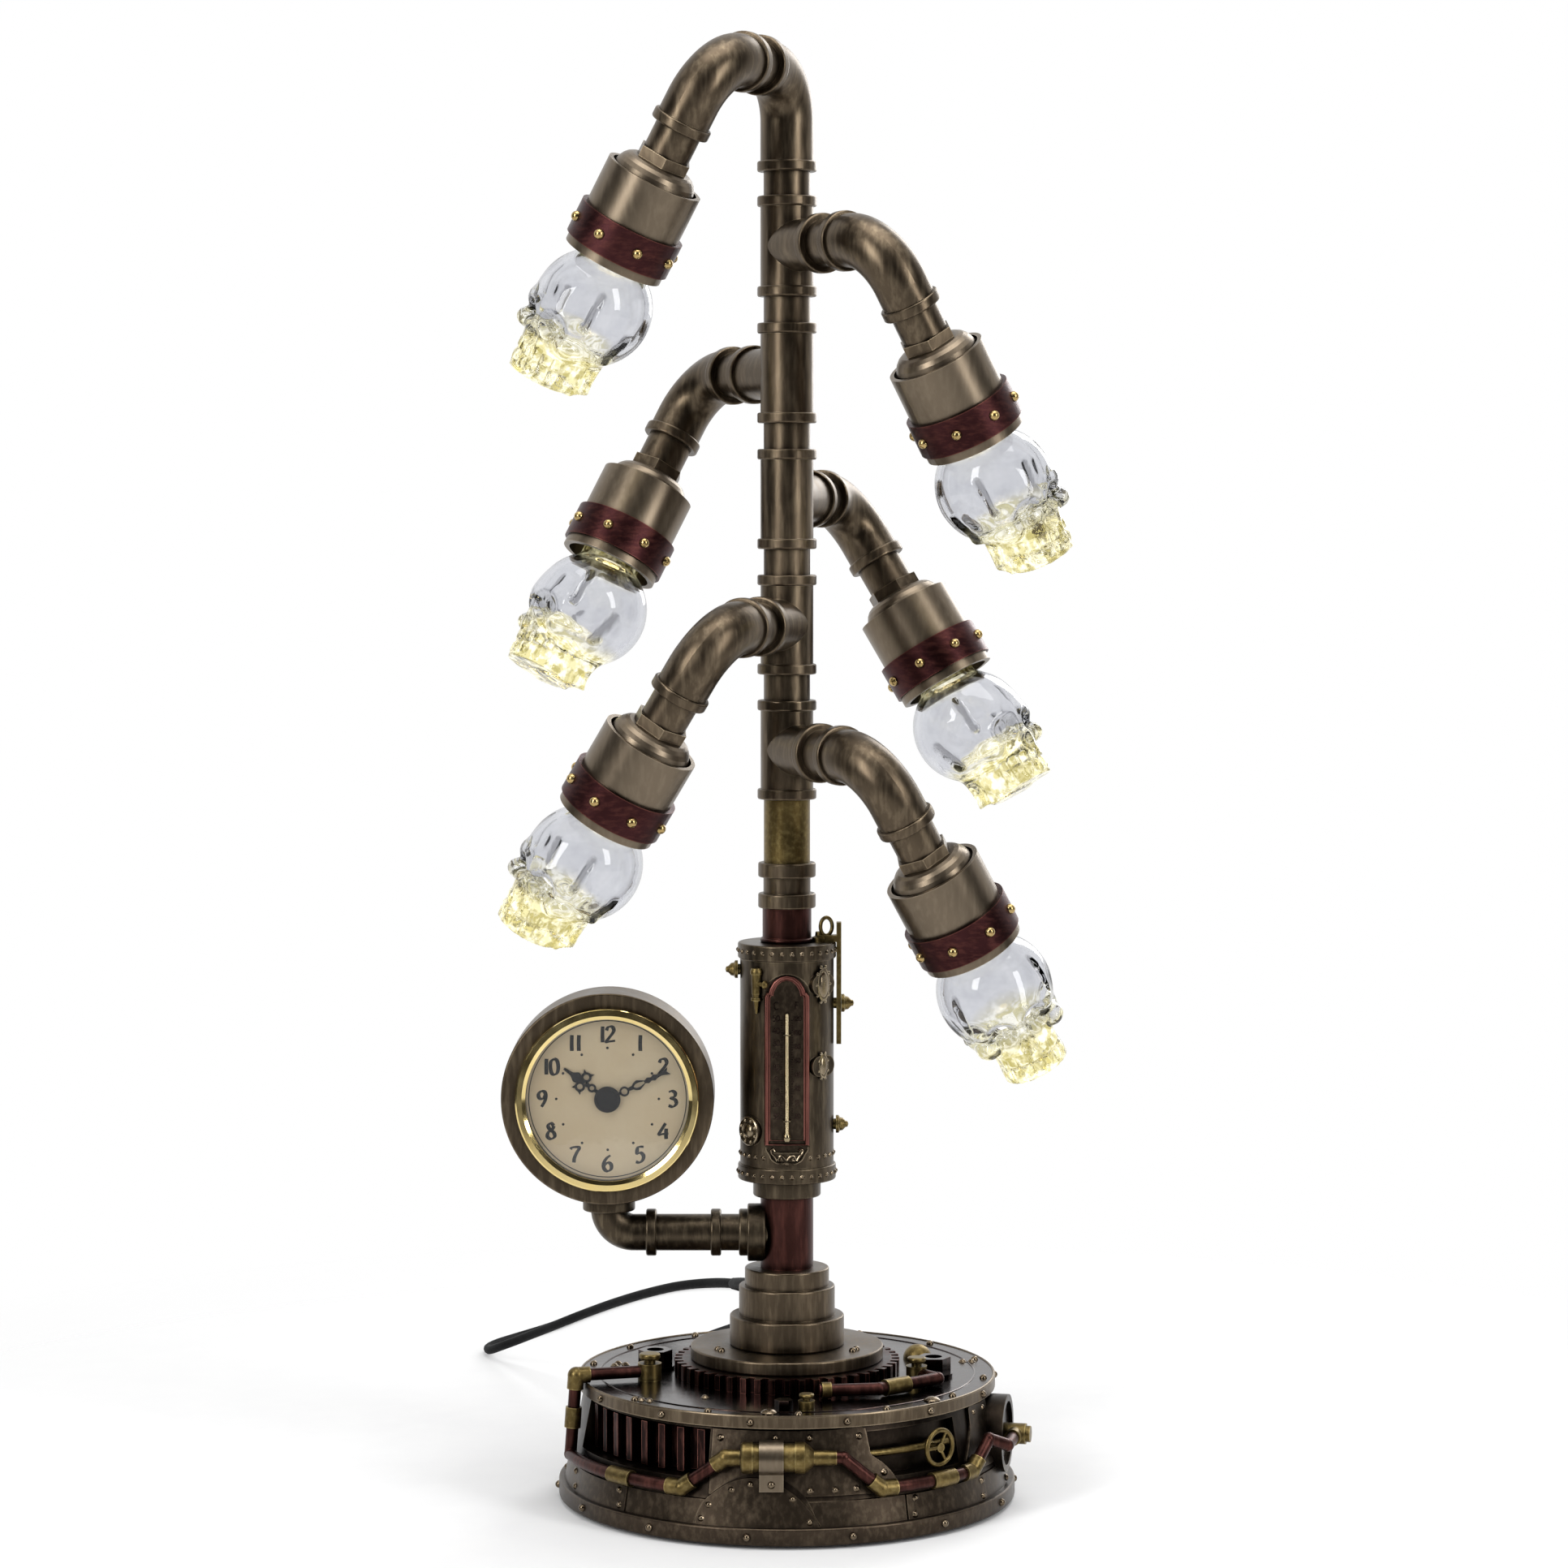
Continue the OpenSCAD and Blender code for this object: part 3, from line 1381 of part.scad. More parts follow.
// The coil winds clockwise, in and out again, in layers that it climbs at each reversal
coil_at = [30, 162];
coil_z = 3.8;
coil_start = 45;
coil_layers = 4;
coil_rings = 24;
coil_sides = 6;
climb_turns = 0.5;
coil_total = coil_layers * coil_turns;
coil_end = coil_start - 360 * coil_total;
function coil_way(a) = [sin(a), -cos(a), 0];
function turns_out(t) = abs(coil_turns - t % (2 * coil_turns));
function climbed(t, layer) = min(max((t - layer * coil_turns) / climb_turns + 0.5, 0), 1);
function coil_point(t) = let (r = coil_in_r + coil_step * turns_out(t), a = coil_start - 360 * t)
    [coil_at[0] + r * cos(a), coil_at[1] + r * sin(a),
    coil_z + coil_step * (climbed(t, 1) + climbed(t, 2) + climbed(t, 3))];
coil_last = round(coil_total * coil_rings);
coil_from = coil_point(0) - cord_d * coil_way(coil_start);
coil_to = coil_point(coil_total) + cord_d * coil_way(coil_end);
coil_points = concat([coil_from], [for (i = [0 : coil_last]) coil_point(i * coil_total / coil_last)],
    [coil_to]);
coil_gap = min([for (i = [0 : coil_last]) for (k = [i + coil_rings / 2 : 1 : coil_last + 2])
    norm(coil_points[i] - coil_points[k])]) - cord_d;
echo(coil_least_gap = coil_gap);

module cord_coil() {
    color(black) cord(coil_points, coil_sides, coil_way(coil_start), coil_way(coil_end));
}

// A box with its upright edges cut back
module cut_box(length, width, h, cut) {
    x = length / 2;
    y = width / 2;
    linear_extrude(h) polygon([[-x + cut, -y], [x - cut, -y], [x, -y + cut], [x, y - cut], [x - cut, y],
        [-x + cut, y], [-x, y - cut], [-x, -y + cut]]);
}

module at_switch() {
    translate([switch_at[0], switch_at[1], 0]) rotate([0, 0, switch_angle]) children();
}

pocket_len = rocker_len + 2 * rocker_gap;
pocket_w = rocker_w + 2 * rocker_gap;

module switch_body() {
    color(black) at_switch() difference() {
        cut_box(switch_len, switch_w, switch_h, 4);
        translate([-pocket_len / 2, -pocket_w / 2, switch_h - pocket_d])
            cube([pocket_len, pocket_w, pocket_d + over]);
        translate([0, pocket_w / 2 + axle_end + fit, rocker_pivot_z]) rotate([90, 0, 0])
            cylinder(r = axle_r + axle_clear, h = pocket_w + 2 * (axle_end + fit));
    }
}

module switch_rocker() {
    x = rocker_len / 2;
    color(black) at_switch() translate([0, 0, rocker_pivot_z]) rotate([90, rocker_tilt, 0]) {
        translate([0, 0, -rocker_w / 2]) linear_extrude(rocker_w)
            polygon([[-x + 0.2, -0.5], [-x + 2.5, -3.4], [x - 2.5, -3.4],
                [x - 0.2, -0.5], [x - 0.4, 2.2], [0, 1.6], [-x + 0.4, 2.2]]);
        translate([0, 0, -pocket_w / 2 - axle_end]) cylinder(r = axle_r, h = pocket_w + 2 * axle_end);
    }
}

module power_plug() {
    color(black) translate([plug_at[0] - plug_len / 2, plug_at[1], 0]) {
        cut_box(plug_len, plug_w, plug_h, 4);
        for (side = [-1, 1])
            translate([-plug_len / 2 - pin_len, side * pin_gap / 2 - pin_t / 2, (plug_h - pin_w) / 2])
                cube([pin_len + over, pin_t, pin_w]);
    }
}

foot_pads();
bottom_plate();
bottom_screws();
ballast_weight();
base_skirt();
window_gear();
base_lid();
tie_tube();
tie_nuts();
ring_gear();
disc_flange();
neck_collar();
lid_nuts();
copper_pipes();
brass_fittings();
pressure_cylinder();
cylinder_strap();
handwheel();
base_rivets();
lower_stem();
housing_collar();
gauge_housing();
thermometer_frame();
thermometer_tube();
housing_fittings();
upper_stem();
stem_coupling();
brass_stem();
pole_tees();
pipe_nipples();
top_elbow();
arm_elbows();
hex_nuts();
cup_domes();
lamp_cups();
copper_bands();
band_rivets();
led_modules();
glass_skull(0);  // glass_skull_1
glass_skull(1);  // glass_skull_2
glass_skull(2);  // glass_skull_3
glass_skull(3);  // glass_skull_4
glass_skull(4);  // glass_skull_5
glass_skull(5);  // glass_skull_6
clock_case();
clock_pipe();
clock_bezel();
clock_lens();
clock_dial();
clock_movement();
minute_hand();
hour_hand();
cord_gland();
cord_lead();
cord_run();
cord_coil();
cord_tail();
switch_body();
switch_rocker();
power_plug();
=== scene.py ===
# Studio picture of a pipe desk lamp with glass skull lamps and a clock
import math

import bpy
import numpy as np
from mathutils import Matrix, Vector


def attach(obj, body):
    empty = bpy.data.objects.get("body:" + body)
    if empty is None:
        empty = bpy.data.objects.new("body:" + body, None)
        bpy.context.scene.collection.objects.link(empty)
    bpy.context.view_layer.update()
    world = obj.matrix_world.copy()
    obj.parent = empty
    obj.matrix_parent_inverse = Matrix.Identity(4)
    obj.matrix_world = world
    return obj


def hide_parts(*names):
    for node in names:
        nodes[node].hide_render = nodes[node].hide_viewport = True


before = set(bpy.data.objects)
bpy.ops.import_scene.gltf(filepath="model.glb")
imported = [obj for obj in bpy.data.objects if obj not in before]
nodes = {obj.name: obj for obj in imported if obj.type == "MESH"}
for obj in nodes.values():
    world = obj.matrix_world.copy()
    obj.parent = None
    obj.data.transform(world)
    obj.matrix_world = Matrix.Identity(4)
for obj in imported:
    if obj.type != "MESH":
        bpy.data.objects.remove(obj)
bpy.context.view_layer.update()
scene = bpy.context.scene

# Lengths below are in millimetres unless they go straight to Blender
MM = 0.001
TINY = 1e-6

# Sizes repeated from the part's source
LID_TOP = 55.0
HOUSE_Z = 142.0
HOUSE_TOP = 247.3
HOUSE_R = 20.7
HOUSE_RING = 1.0
TEE_Z = 332.45
TEE_PITCH = 55.0
TOP_Z = 628.4
MOUTH_S = 97.6
CLOCK_X = 79.0
CLOCK_Z = 179.0
DIAL_FACE = 11.9
ARM_AZIMUTH = [245, 300.5, 120, 71, 247, 298.5]
ARM_SIDE = [-1, 1, 1, -1, -1, 1]
ARM_TILT = [30, 30, 30, 31.5, 32.5, 31]
FACE_AZIMUTH = [220, 310, 208, 322, 218, 276]
ARM_REACH = [71.1, 75.9, 75.9, 75.9, 75.9, 75.9]
CORD_D = 4.5
LAMPS = len(ARM_AZIMUTH)


# Placing

def turned(degrees, axis):
    return Matrix.Rotation(math.radians(degrees), 4, axis)


def moved(x, y, z):
    return Matrix.Translation((x, y, z))


def place(r, angle, z):
    """A point at a radius, an angle from the front (positive to the right) and a height."""
    a = math.radians(angle)
    return Vector((r * math.sin(a), -r * math.cos(a), z))


def outward(angle, r, z):
    """Local +Z stands out from the pole's axis at an angle from the front."""
    return turned(angle - 90, "Z") @ moved(r, 0, z) @ turned(90, "Y")


def arm_height(i):
    return TOP_Z if i == 0 else TEE_Z + (LAMPS - 1 - i) * TEE_PITCH


def at_arm(i):
    """An arm's own frame: the origin is at the elbow's corner and +Z runs down the lamp's axis."""
    a = math.radians(ARM_AZIMUTH[i])
    corner = moved(ARM_REACH[i] * math.cos(a), ARM_REACH[i] * math.sin(a), arm_height(i))
    return corner @ turned(ARM_AZIMUTH[i] + 90 * ARM_SIDE[i], "Z") @ turned(180 - ARM_TILT[i], "Y")


def at_skull(i):
    """A skull's own frame: origin at the cup's mouth, +X where the face looks, +Z towards the chin."""
    a = math.radians(FACE_AZIMUTH[i] - ARM_AZIMUTH[i] - 90 * ARM_SIDE[i])
    turn = math.atan2(math.sin(a), -math.cos(a) * math.cos(math.radians(ARM_TILT[i])))
    return at_arm(i) @ moved(0, 0, MOUTH_S) @ turned(math.degrees(turn), "Z")


AT_CLOCK = moved(-CLOCK_X, 0, CLOCK_Z) @ turned(90, "X")


# Shapes

class Shape:
    """Collects points in millimetres and faces, each set down through a placing matrix."""

    def __init__(self):
        self.points = []
        self.faces = []

    def add(self, points, faces, at=Matrix()):
        start = len(self.points)
        self.points += [at @ Vector(p) for p in points]
        self.faces += [[start + k for k in face] for face in faces]

    def lathe(self, profile, at=Matrix(), sides=20):
        """Turns a profile of (radius, height) about +Z."""
        points, rings, faces = [], [], []
        for r, z in profile:
            count = 1 if r < TINY else sides
            rings.append([len(points) + k for k in range(count)])
            for k in range(count):
                a = 2 * math.pi * k / sides
                points.append((r * math.cos(a), r * math.sin(a), z))
        for low, high in zip(rings, rings[1:]):
            for k in range(sides):
                n = (k + 1) % sides
                if len(low) == 1:
                    faces.append([low[0], high[n], high[k]])
                elif len(high) == 1:
                    faces.append([low[k], low[n], high[0]])
                else:
                    faces.append([low[k], low[n], high[n], high[k]])
        self.add(points, faces, at)

    def rivet(self, r, at, sides=14):
        """A domed head with a slight foot, standing on z = 0."""
        self.lathe([(r * 1.15, -0.2), (r * 1.15, 0.12 * r), (r * 0.95, 0.3 * r), (r * 0.72, 0.62 * r),
                    (r * 0.38, 0.82 * r), (0, 0.88 * r)], at, sides)

    def tube(self, path, radius, at=Matrix(), sides=12, closed=False):
        """Sweeps a circle along points; radius is one number or one for each point."""
        path = [Vector(p) for p in path]
        count = len(path)
        radii = radius if hasattr(radius, "__len__") else [radius] * count
        headings = []
        for k in range(count):
            ahead = path[(k + 1) % count] if closed else path[min(k + 1, count - 1)]
            behind = path[k - 1] if closed else path[max(k - 1, 0)]
            headings.append((ahead - behind).normalized())
        side = headings[0].orthogonal().normalized()
        points = []
        for k in range(count):
            side = (side - headings[k] * side.dot(headings[k])).normalized()
            other = headings[k].cross(side)
            for s in range(sides):
                a = 2 * math.pi * s / sides
                points.append(path[k] + radii[k] * (math.cos(a) * side + math.sin(a) * other))
        faces = []
        for k in range(count if closed else count - 1):
            low, high = k * sides, (k + 1) % count * sides
            for s in range(sides):
                n = (s + 1) % sides
                faces.append([low + s, low + n, high + n, high + s])
        if not closed:
            last = (count - 1) * sides
            faces.append([s for s in range(sides)][::-1])
            faces.append([last + s for s in range(sides)])
        self.add(points, faces, at)

    def plate(self, outline, low, high, at=Matrix()):
        """A flat plate with the given outline between two heights."""
        count = len(outline)
        points = [(x, y, low) for x, y in outline] + [(x, y, high) for x, y in outline]
        faces = [list(range(count))[::-1], list(range(count, 2 * count))]
        for k in range(count):
            n = (k + 1) % count
            faces.append([k, n, count + n, count + k])
        self.add(points, faces, at)

    def washer(self, r_out, r_in, low, high, at=Matrix(), sides=28):
        """A flat ring."""
        self.lathe([(r_in, low), (r_out, low), (r_out, high), (r_in, high), (r_in, low)], at, sides)


def smooth_line(points, steps):
    """A smooth curve through given points."""
    p = [Vector(q) for q in points]
    last = len(p) - 1
    out = []
    for i in range(last):
        a, b, c, d = p[max(i - 1, 0)], p[i], p[i + 1], p[min(i + 2, last)]
        for k in range(steps):
            t = k / steps
            out.append(b + t / 2 * (c - a + t * (2 * a - 5 * b + 4 * c - d + t * (3 * b - a - 3 * c + d))))
    return out + [p[last]]


def piece(name, shape, body, material, replaced=(), sharp=38):
    """Makes a shape into an object that rides on a body."""
    mesh = bpy.data.meshes.new(name)
    mesh.from_pydata([p * MM for p in shape.points], [], shape.faces)
    mesh.validate()
    mesh.polygons.foreach_set("use_smooth", [True] * len(mesh.polygons))
    mesh.set_sharp_from_angle(angle=math.radians(sharp))
    mesh.materials.append(material)
    made = bpy.data.objects.new(name, mesh)
    scene.collection.objects.link(made)
    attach(made, body)
    if replaced:
        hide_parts(*replaced)
    return made


# Camera

IMAGE_PX = 1932
FOCAL_PX = 5116
SENSOR_MM = 36.0
CAMERA_AT = (-0.0013, -1.826, 0.448)
CAMERA_DROP = 4.1
camera_data = bpy.data.cameras.new("camera")
camera_data.sensor_width = SENSOR_MM
camera_data.lens = SENSOR_MM * FOCAL_PX / IMAGE_PX
camera_data.clip_end = 20
camera = bpy.data.objects.new("camera", camera_data)
camera.location = CAMERA_AT
camera.rotation_euler = (math.radians(90 - CAMERA_DROP), 0, 0)
scene.collection.objects.link(camera)
scene.camera = camera
scene.view_settings.view_transform = "Standard"


# Materials

class Tree:
    """Short calls for building the nodes of a material or the world."""

    def __init__(self, owner):
        owner.use_nodes = True
        self.tree = owner.node_tree

    def put(self, socket, value):
        if isinstance(value, bpy.types.NodeSocket):
            self.tree.links.new(value, socket)
        else:
            socket.default_value = value

    def node(self, kind, inputs=None, **settings):
        made = self.tree.nodes.new(kind)
        for key, value in settings.items():
            setattr(made, key, value)
        for key, value in (inputs or {}).items():
            self.put(made.inputs[key], value)
        return made

    def ramp(self, fac, low, high, first=0.0, last=1.0):
        """Carries low..high to first..last and holds it there outside."""
        made = self.node("ShaderNodeMapRange", {
            "Value": fac, "From Min": low, "From Max": high, "To Min": first, "To Max": last})
        return made.outputs["Result"]

    def maths(self, operation, a, b=0.0):
        return self.node("ShaderNodeMath", {0: a, 1: b}, operation=operation).outputs[0]


class Nodes(Tree):
    """One material's nodes, with patterns that follow the piece."""

    def __init__(self, name):
        self.material = bpy.data.materials.new(name)
        super().__init__(self.material)
        self.shader = self.tree.nodes["Principled BSDF"]
        self.at = self.node("ShaderNodeTexCoord").outputs["Object"]

    def noise(self, scale, detail=4.0, rough=0.6, stretch=None):
        at = self.at
        if stretch:
            at = self.node("ShaderNodeMapping", {"Vector": at, "Scale": stretch}).outputs["Vector"]
        return self.node("ShaderNodeTexNoise", {
            "Vector": at, "Scale": scale, "Detail": detail, "Roughness": rough}).outputs["Fac"]

    def mix(self, fac, a, b):
        return self.node("ShaderNodeMix", {0: fac, 6: colour(a), 7: colour(b)}, data_type="RGBA").outputs[2]

    def edges(self, radius, low, high):
        """1 on outward edges within a radius in millimetres."""
        soft = self.node("ShaderNodeBevel", {"Radius": radius * MM}, samples=6).outputs["Normal"]
        flat = self.node("ShaderNodeNewGeometry").outputs["Normal"]
        turn = self.node("ShaderNodeVectorMath", {0: soft, 1: flat}, operation="DOT_PRODUCT").outputs["Value"]
        return self.ramp(turn, 1.0 - low, 1.0 - high)

    def hollows(self, distance, low, high):
        """1 in crevices within a distance in millimetres, from ambient occlusion: a mask of painted shade."""
        open_air = self.node("ShaderNodeAmbientOcclusion", {"Distance": distance * MM}, samples=8)
        return self.ramp(open_air.outputs["AO"], high, low)

    def bump(self, height, strength, distance):
        return self.node("ShaderNodeBump", {
            "Height": height, "Strength": strength, "Distance": distance * MM}).outputs["Normal"]

    def finish(self, **sockets):
        for key, value in sockets.items():
            self.put(self.shader.inputs[key.replace("_", " ")], value)
        return self.material


def colour(value):
    if isinstance(value, bpy.types.NodeSocket) or len(value) == 4:
        return value
    return (*value, 1.0)


def aged_metal(name, grime_and_shade, body, shine, rough=(0.28, 0.46), edge=1.0, wash=7.0, patch=0.5, grain=0.12,
               stretch=(1, 1, 0.15), dark_from=None):
    """Metal with a dark wash and painted shade in its hollows, patches of tone, brushed grain and rubbed
    edges.

    Above dark_from, a height in millimetres, the colour is darker."""
    n = Nodes(name)
    cloud = n.noise(38, 5)
    streak = n.noise(420, 3, 0.55, stretch)
    fine = n.noise(1500, 2)
    tone = n.mix(n.ramp(cloud, 0.35, 0.68), [c * (1 - patch * 0.55) for c in body], body)
    tone = n.mix(n.ramp(streak, 0.45, 0.75, 0.0, 0.28), tone, shine)
    rubbed = n.maths("MULTIPLY", n.edges(edge, 0.02, 0.22), n.ramp(n.noise(160, 3), 0.3, 0.6, 0.35, 1.0))
    tone = n.mix(rubbed, tone, shine)
    # Dark wash and painted shade: ambient occlusion darkens the hollows towards the grime colour.
    wash_and_shade = n.maths("MULTIPLY", n.hollows(wash, 0.25, 0.85), n.ramp(cloud, 0.25, 0.7, 1.0, 0.7))
    tone = n.mix(wash_and_shade, tone, grime_and_shade)
    if dark_from:
        # The colour runs darker above dark_from.
        above = n.node("ShaderNodeSeparateXYZ", {0: n.at}).outputs["Z"]
        tone = n.mix(n.ramp(above, (dark_from - 1) * MM, (dark_from + 1) * MM, 0.0, 0.7), tone, grime_and_shade)
    roughness = n.ramp(n.maths("ADD", cloud, n.maths("MULTIPLY", streak, 0.5)), 0.5, 1.0, rough[0], rough[1])
    height = n.maths("ADD", n.maths("MULTIPLY", streak, 0.6), n.maths("MULTIPLY", fine, 0.4))
    return n.finish(Base_Color=tone, Metallic=1.0, Roughness=roughness, Normal=n.bump(height, grain, 0.4))


bronze = aged_metal("aged_bronze", (0.008, 0.006, 0.004), (0.108, 0.081, 0.054), (0.37, 0.292, 0.195),
                    grain=0.07)
cup_bronze = aged_metal("satin_bronze", (0.02, 0.015, 0.01), (0.175, 0.138, 0.098), (0.30, 0.245, 0.175),
                        rough=(0.3, 0.4), patch=0.25, grain=0.06)
base_bronze = aged_metal("base_bronze", (0.008, 0.006, 0.005), (0.054, 0.04, 0.028), (0.225, 0.172, 0.117),
                         wash=14.0, patch=0.45, stretch=(1, 1, 0.6))
skirt_bronze = aged_metal("skirt_bronze", (0.008, 0.006, 0.005), (0.06, 0.044, 0.031), (0.235, 0.18, 0.122),
                          wash=14.0, patch=0.45, stretch=(1, 1, 0.6), dark_from=20)
housing_bronze = aged_metal("housing_bronze", (0.007, 0.005, 0.004), (0.08, 0.061, 0.041),
                            (0.33, 0.262, 0.172), wash=9.0, patch=0.8)
dark_bronze = aged_metal("dark_bronze", (0.004, 0.003, 0.003), (0.02, 0.012, 0.011), (0.15, 0.095, 0.075),
                         rough=(0.12, 0.26), edge=0.7, patch=0.6)
gear_bronze = aged_metal("copper_edged_iron", (0.003, 0.002, 0.002), (0.02, 0.011, 0.01),
                         (0.40, 0.165, 0.13), rough=(0.25, 0.45), edge=0.6, patch=0.5)
copper = aged_metal("dry_brushed_copper", (0.01, 0.004, 0.004), (0.06, 0.024, 0.02), (0.25, 0.092, 0.072),
                    rough=(0.3, 0.5), patch=0.7, grain=0.2)
rose_copper = aged_metal("rose_copper", (0.02, 0.007, 0.006), (0.19, 0.072, 0.058), (0.42, 0.175, 0.14),
                         wash=2.0, patch=0.4)
band_copper = aged_metal("maroon_band", (0.012, 0.004, 0.005), (0.056, 0.019, 0.02), (0.19, 0.068, 0.052),
                         rough=(0.3, 0.5), patch=0.8, grain=0.25, stretch=(0.5, 0.5, 1.5))
brass = aged_metal("dry_brushed_brass", (0.012, 0.009, 0.004), (0.19, 0.135, 0.05), (0.50, 0.39, 0.165),
                   rough=(0.3, 0.5), patch=0.9, grain=0.3, stretch=(1, 1, 1))
gold = aged_metal("gold_heads", (0.04, 0.026, 0.01), (0.48, 0.34, 0.14), (0.78, 0.61, 0.30),
                  rough=(0.2, 0.32), wash=2.0, patch=0.4)
head_bronze = aged_metal("rivet_bronze", (0.012, 0.009, 0.006), (0.15, 0.114, 0.076), (0.48, 0.385, 0.265),
                         rough=(0.18, 0.3), wash=1.6, patch=0.4)
pale_brass = aged_metal("pale_brass", (0.06, 0.048, 0.026), (0.33, 0.27, 0.165), (0.58, 0.50, 0.34),
                        rough=(0.2, 0.3), wash=1.6, patch=0.4)
pale_bronze = aged_metal("pale_bronze", (0.02, 0.015, 0.01), (0.24, 0.19, 0.125), (0.56, 0.47, 0.33),
                         rough=(0.2, 0.32), wash=2.0, patch=0.5)
steel = aged_metal("brushed_steel", (0.05, 0.05, 0.05), (0.42, 0.42, 0.43), (0.62, 0.62, 0.63))


def polished_gold():
    n = Nodes("polished_gold")
    smear = n.noise(60, 3)
    tone = n.mix(n.ramp(smear, 0.3, 0.7), (0.78, 0.60, 0.24), (0.86, 0.70, 0.34))
    return n.finish(Base_Color=tone, Metallic=1.0, Roughness=n.ramp(smear, 0.3, 0.7, 0.06, 0.14))


def moulded_black(name, tone, rough, pebble, specular=0.3):
    n = Nodes(name)
    grain = n.noise(900, 3)
    wear = n.mix(n.ramp(n.noise(45, 4), 0.4, 0.7), tone, [c * 1.6 + 0.004 for c in tone])
    return n.finish(Base_Color=wear, Roughness=n.ramp(grain, 0.3, 0.7, rough - 0.06, rough + 0.08),
                    Specular_IOR_Level=specular, Normal=n.bump(grain, pebble, 0.2))


def printed_card():
    n = Nodes("printed_card")
    fibre = n.noise(700, 4)
    age = n.noise(22, 4)
    tone = n.mix(n.ramp(age, 0.35, 0.7), (0.60, 0.47, 0.29), (0.66, 0.55, 0.37))
    tone = n.mix(n.ramp(fibre, 0.4, 0.75, 0.0, 0.18), tone, (0.50, 0.38, 0.22))
    return n.finish(Base_Color=tone, Roughness=0.55, Normal=n.bump(fibre, 0.05, 0.1))


def clear_glass(name, tone):
    n = Nodes(name)
    wave = n.noise(90, 2)
    return n.finish(Base_Color=(*tone, 1.0), Roughness=0.02, IOR=1.5, Transmission_Weight=1.0,
                    Normal=n.bump(wave, 0.05, 0.3))


GLOW = "glow"
CREASE_SHADE = "crease_shade"
OUTER = "outer"


def skull_glass():
    """Smoky clear glass with painted shade in its creases and at its rims, and painted warm light in its jaw
    and neck.
    """
    n = Nodes("skull_glass")
    glow, crease_shade, outer = [n.node("ShaderNodeAttribute", attribute_name=key).outputs["Fac"]
                           for key in (GLOW, CREASE_SHADE, OUTER)]
    spark = n.noise(210, 2, 0.5)
    swirl = n.noise(95, 3, 0.6)
    smoke = n.mix(n.ramp(swirl, 0.35, 0.7), (0.610, 0.622, 0.665), (0.720, 0.730, 0.760))
    # Painted light: a warm yellow tone where the jaw and neck glow.
    lit = n.mix(n.ramp(spark, 0.44, 0.58), (0.640, 0.560, 0.200), (0.985, 0.965, 0.820))
    tone = n.mix(n.ramp(glow, 0.05, 0.7), smoke, lit)
    facing = n.node("ShaderNodeLayerWeight", {"Blend": 0.5}).outputs["Facing"]
    # Painted shade: dark lines in the creases, and rims that darken where the glass turns away.
    dark = n.maths("MAXIMUM", crease_shade, n.ramp(facing, 0.62, 0.98, 0.0, 0.8))
    tone = n.mix(dark, tone, n.mix(n.ramp(glow, 0.2, 0.8), (0.100, 0.100, 0.112), (0.330, 0.280, 0.090)))
    tone = n.mix(outer, (0.95, 0.95, 0.96), tone)
    # Painted light: emission in the jaw and neck stands for the lamp's light in the glass.
    light = n.maths("MULTIPLY", glow, n.ramp(spark, 0.46, 0.60, 0.0, 0.32))
    ripple = n.maths("MULTIPLY", glow, n.noise(260, 2))
    height = n.maths("ADD", n.maths("MULTIPLY", n.noise(60, 2), 0.3), ripple)
    return n.finish(Base_Color=tone, Roughness=0.0, IOR=1.42, Transmission_Weight=1.0,
                    Emission_Color=(1.0, 0.93, 0.58, 1.0), Emission_Strength=light,
                    Normal=n.bump(height, 0.3, 0.9))


def lamp_light():
    n = Nodes("lamp_light")
    rings = n.noise(300, 2)
    tone = n.mix(n.ramp(rings, 0.3, 0.7), (1.0, 0.80, 0.42), (1.0, 0.88, 0.58))
    return n.finish(Base_Color=(0.9, 0.85, 0.7, 1.0), Roughness=0.6, Emission_Color=tone,
                    Emission_Strength=6.0)


gold_bezel = polished_gold()
black_plastic = moulded_black("moulded_black", (0.007, 0.007, 0.0075), 0.42, 0.15, 0.12)
black_cord = moulded_black("cord_black", (0.003, 0.003, 0.0034), 0.5, 0.1, 0.03)
black_hand = moulded_black("hand_black", (0.008, 0.008, 0.010), 0.35, 0.03, 0.12)
pad_rubber = moulded_black("pad_rubber", (0.02, 0.02, 0.02), 0.8, 0.3)
card = printed_card()
lens_glass = clear_glass("lens_glass", (0.98, 0.98, 0.97))
glass_skull = skull_glass()
lamp_glow = lamp_light()

NODE_MATERIALS = {
    pad_rubber: ["foot_pads"],
    skirt_bronze: ["base_skirt"],
    housing_bronze: ["housing_collar", "gauge_housing", "clock_pipe"],
    bronze: ["disc_flange", "neck_collar", "stem_coupling", "pole_tees", "top_elbow", "arm_elbows",
             "hex_nuts", "clock_case", "pipe_nipples"],
    cup_bronze: ["cup_domes", "lamp_cups", "cylinder_strap"],
    dark_bronze: ["bottom_plate", "base_lid", "lid_nuts", "thermometer_frame"],
    gear_bronze: ["window_gear", "ring_gear"],
    steel: ["bottom_screws", "ballast_weight", "tie_tube", "tie_nuts", "clock_movement"],
    copper: ["copper_pipes", "lower_stem", "upper_stem"],
    band_copper: ["copper_bands"],
    brass: ["brass_fittings", "pressure_cylinder", "handwheel", "housing_fittings", "brass_stem"],
    gold: ["band_rivets"],
    head_bronze: ["base_rivets"],
    gold_bezel: ["clock_bezel"],
    lens_glass: ["thermometer_tube", "clock_lens"],
    lamp_glow: ["led_modules"],
    card: ["clock_dial"],
    black_hand: ["minute_hand", "hour_hand"],
    black_plastic: ["cord_gland", "switch_body", "switch_rocker", "power_plug"],
    black_cord: ["cord_lead", "cord_run", "cord_coil", "cord_tail"],
    glass_skull: ["glass_skull_%d" % k for k in range(1, LAMPS + 1)],
}
for material, names in NODE_MATERIALS.items():
    for name in names:
        nodes[name].data.materials.clear()
        nodes[name].data.materials.append(material)


# Cord

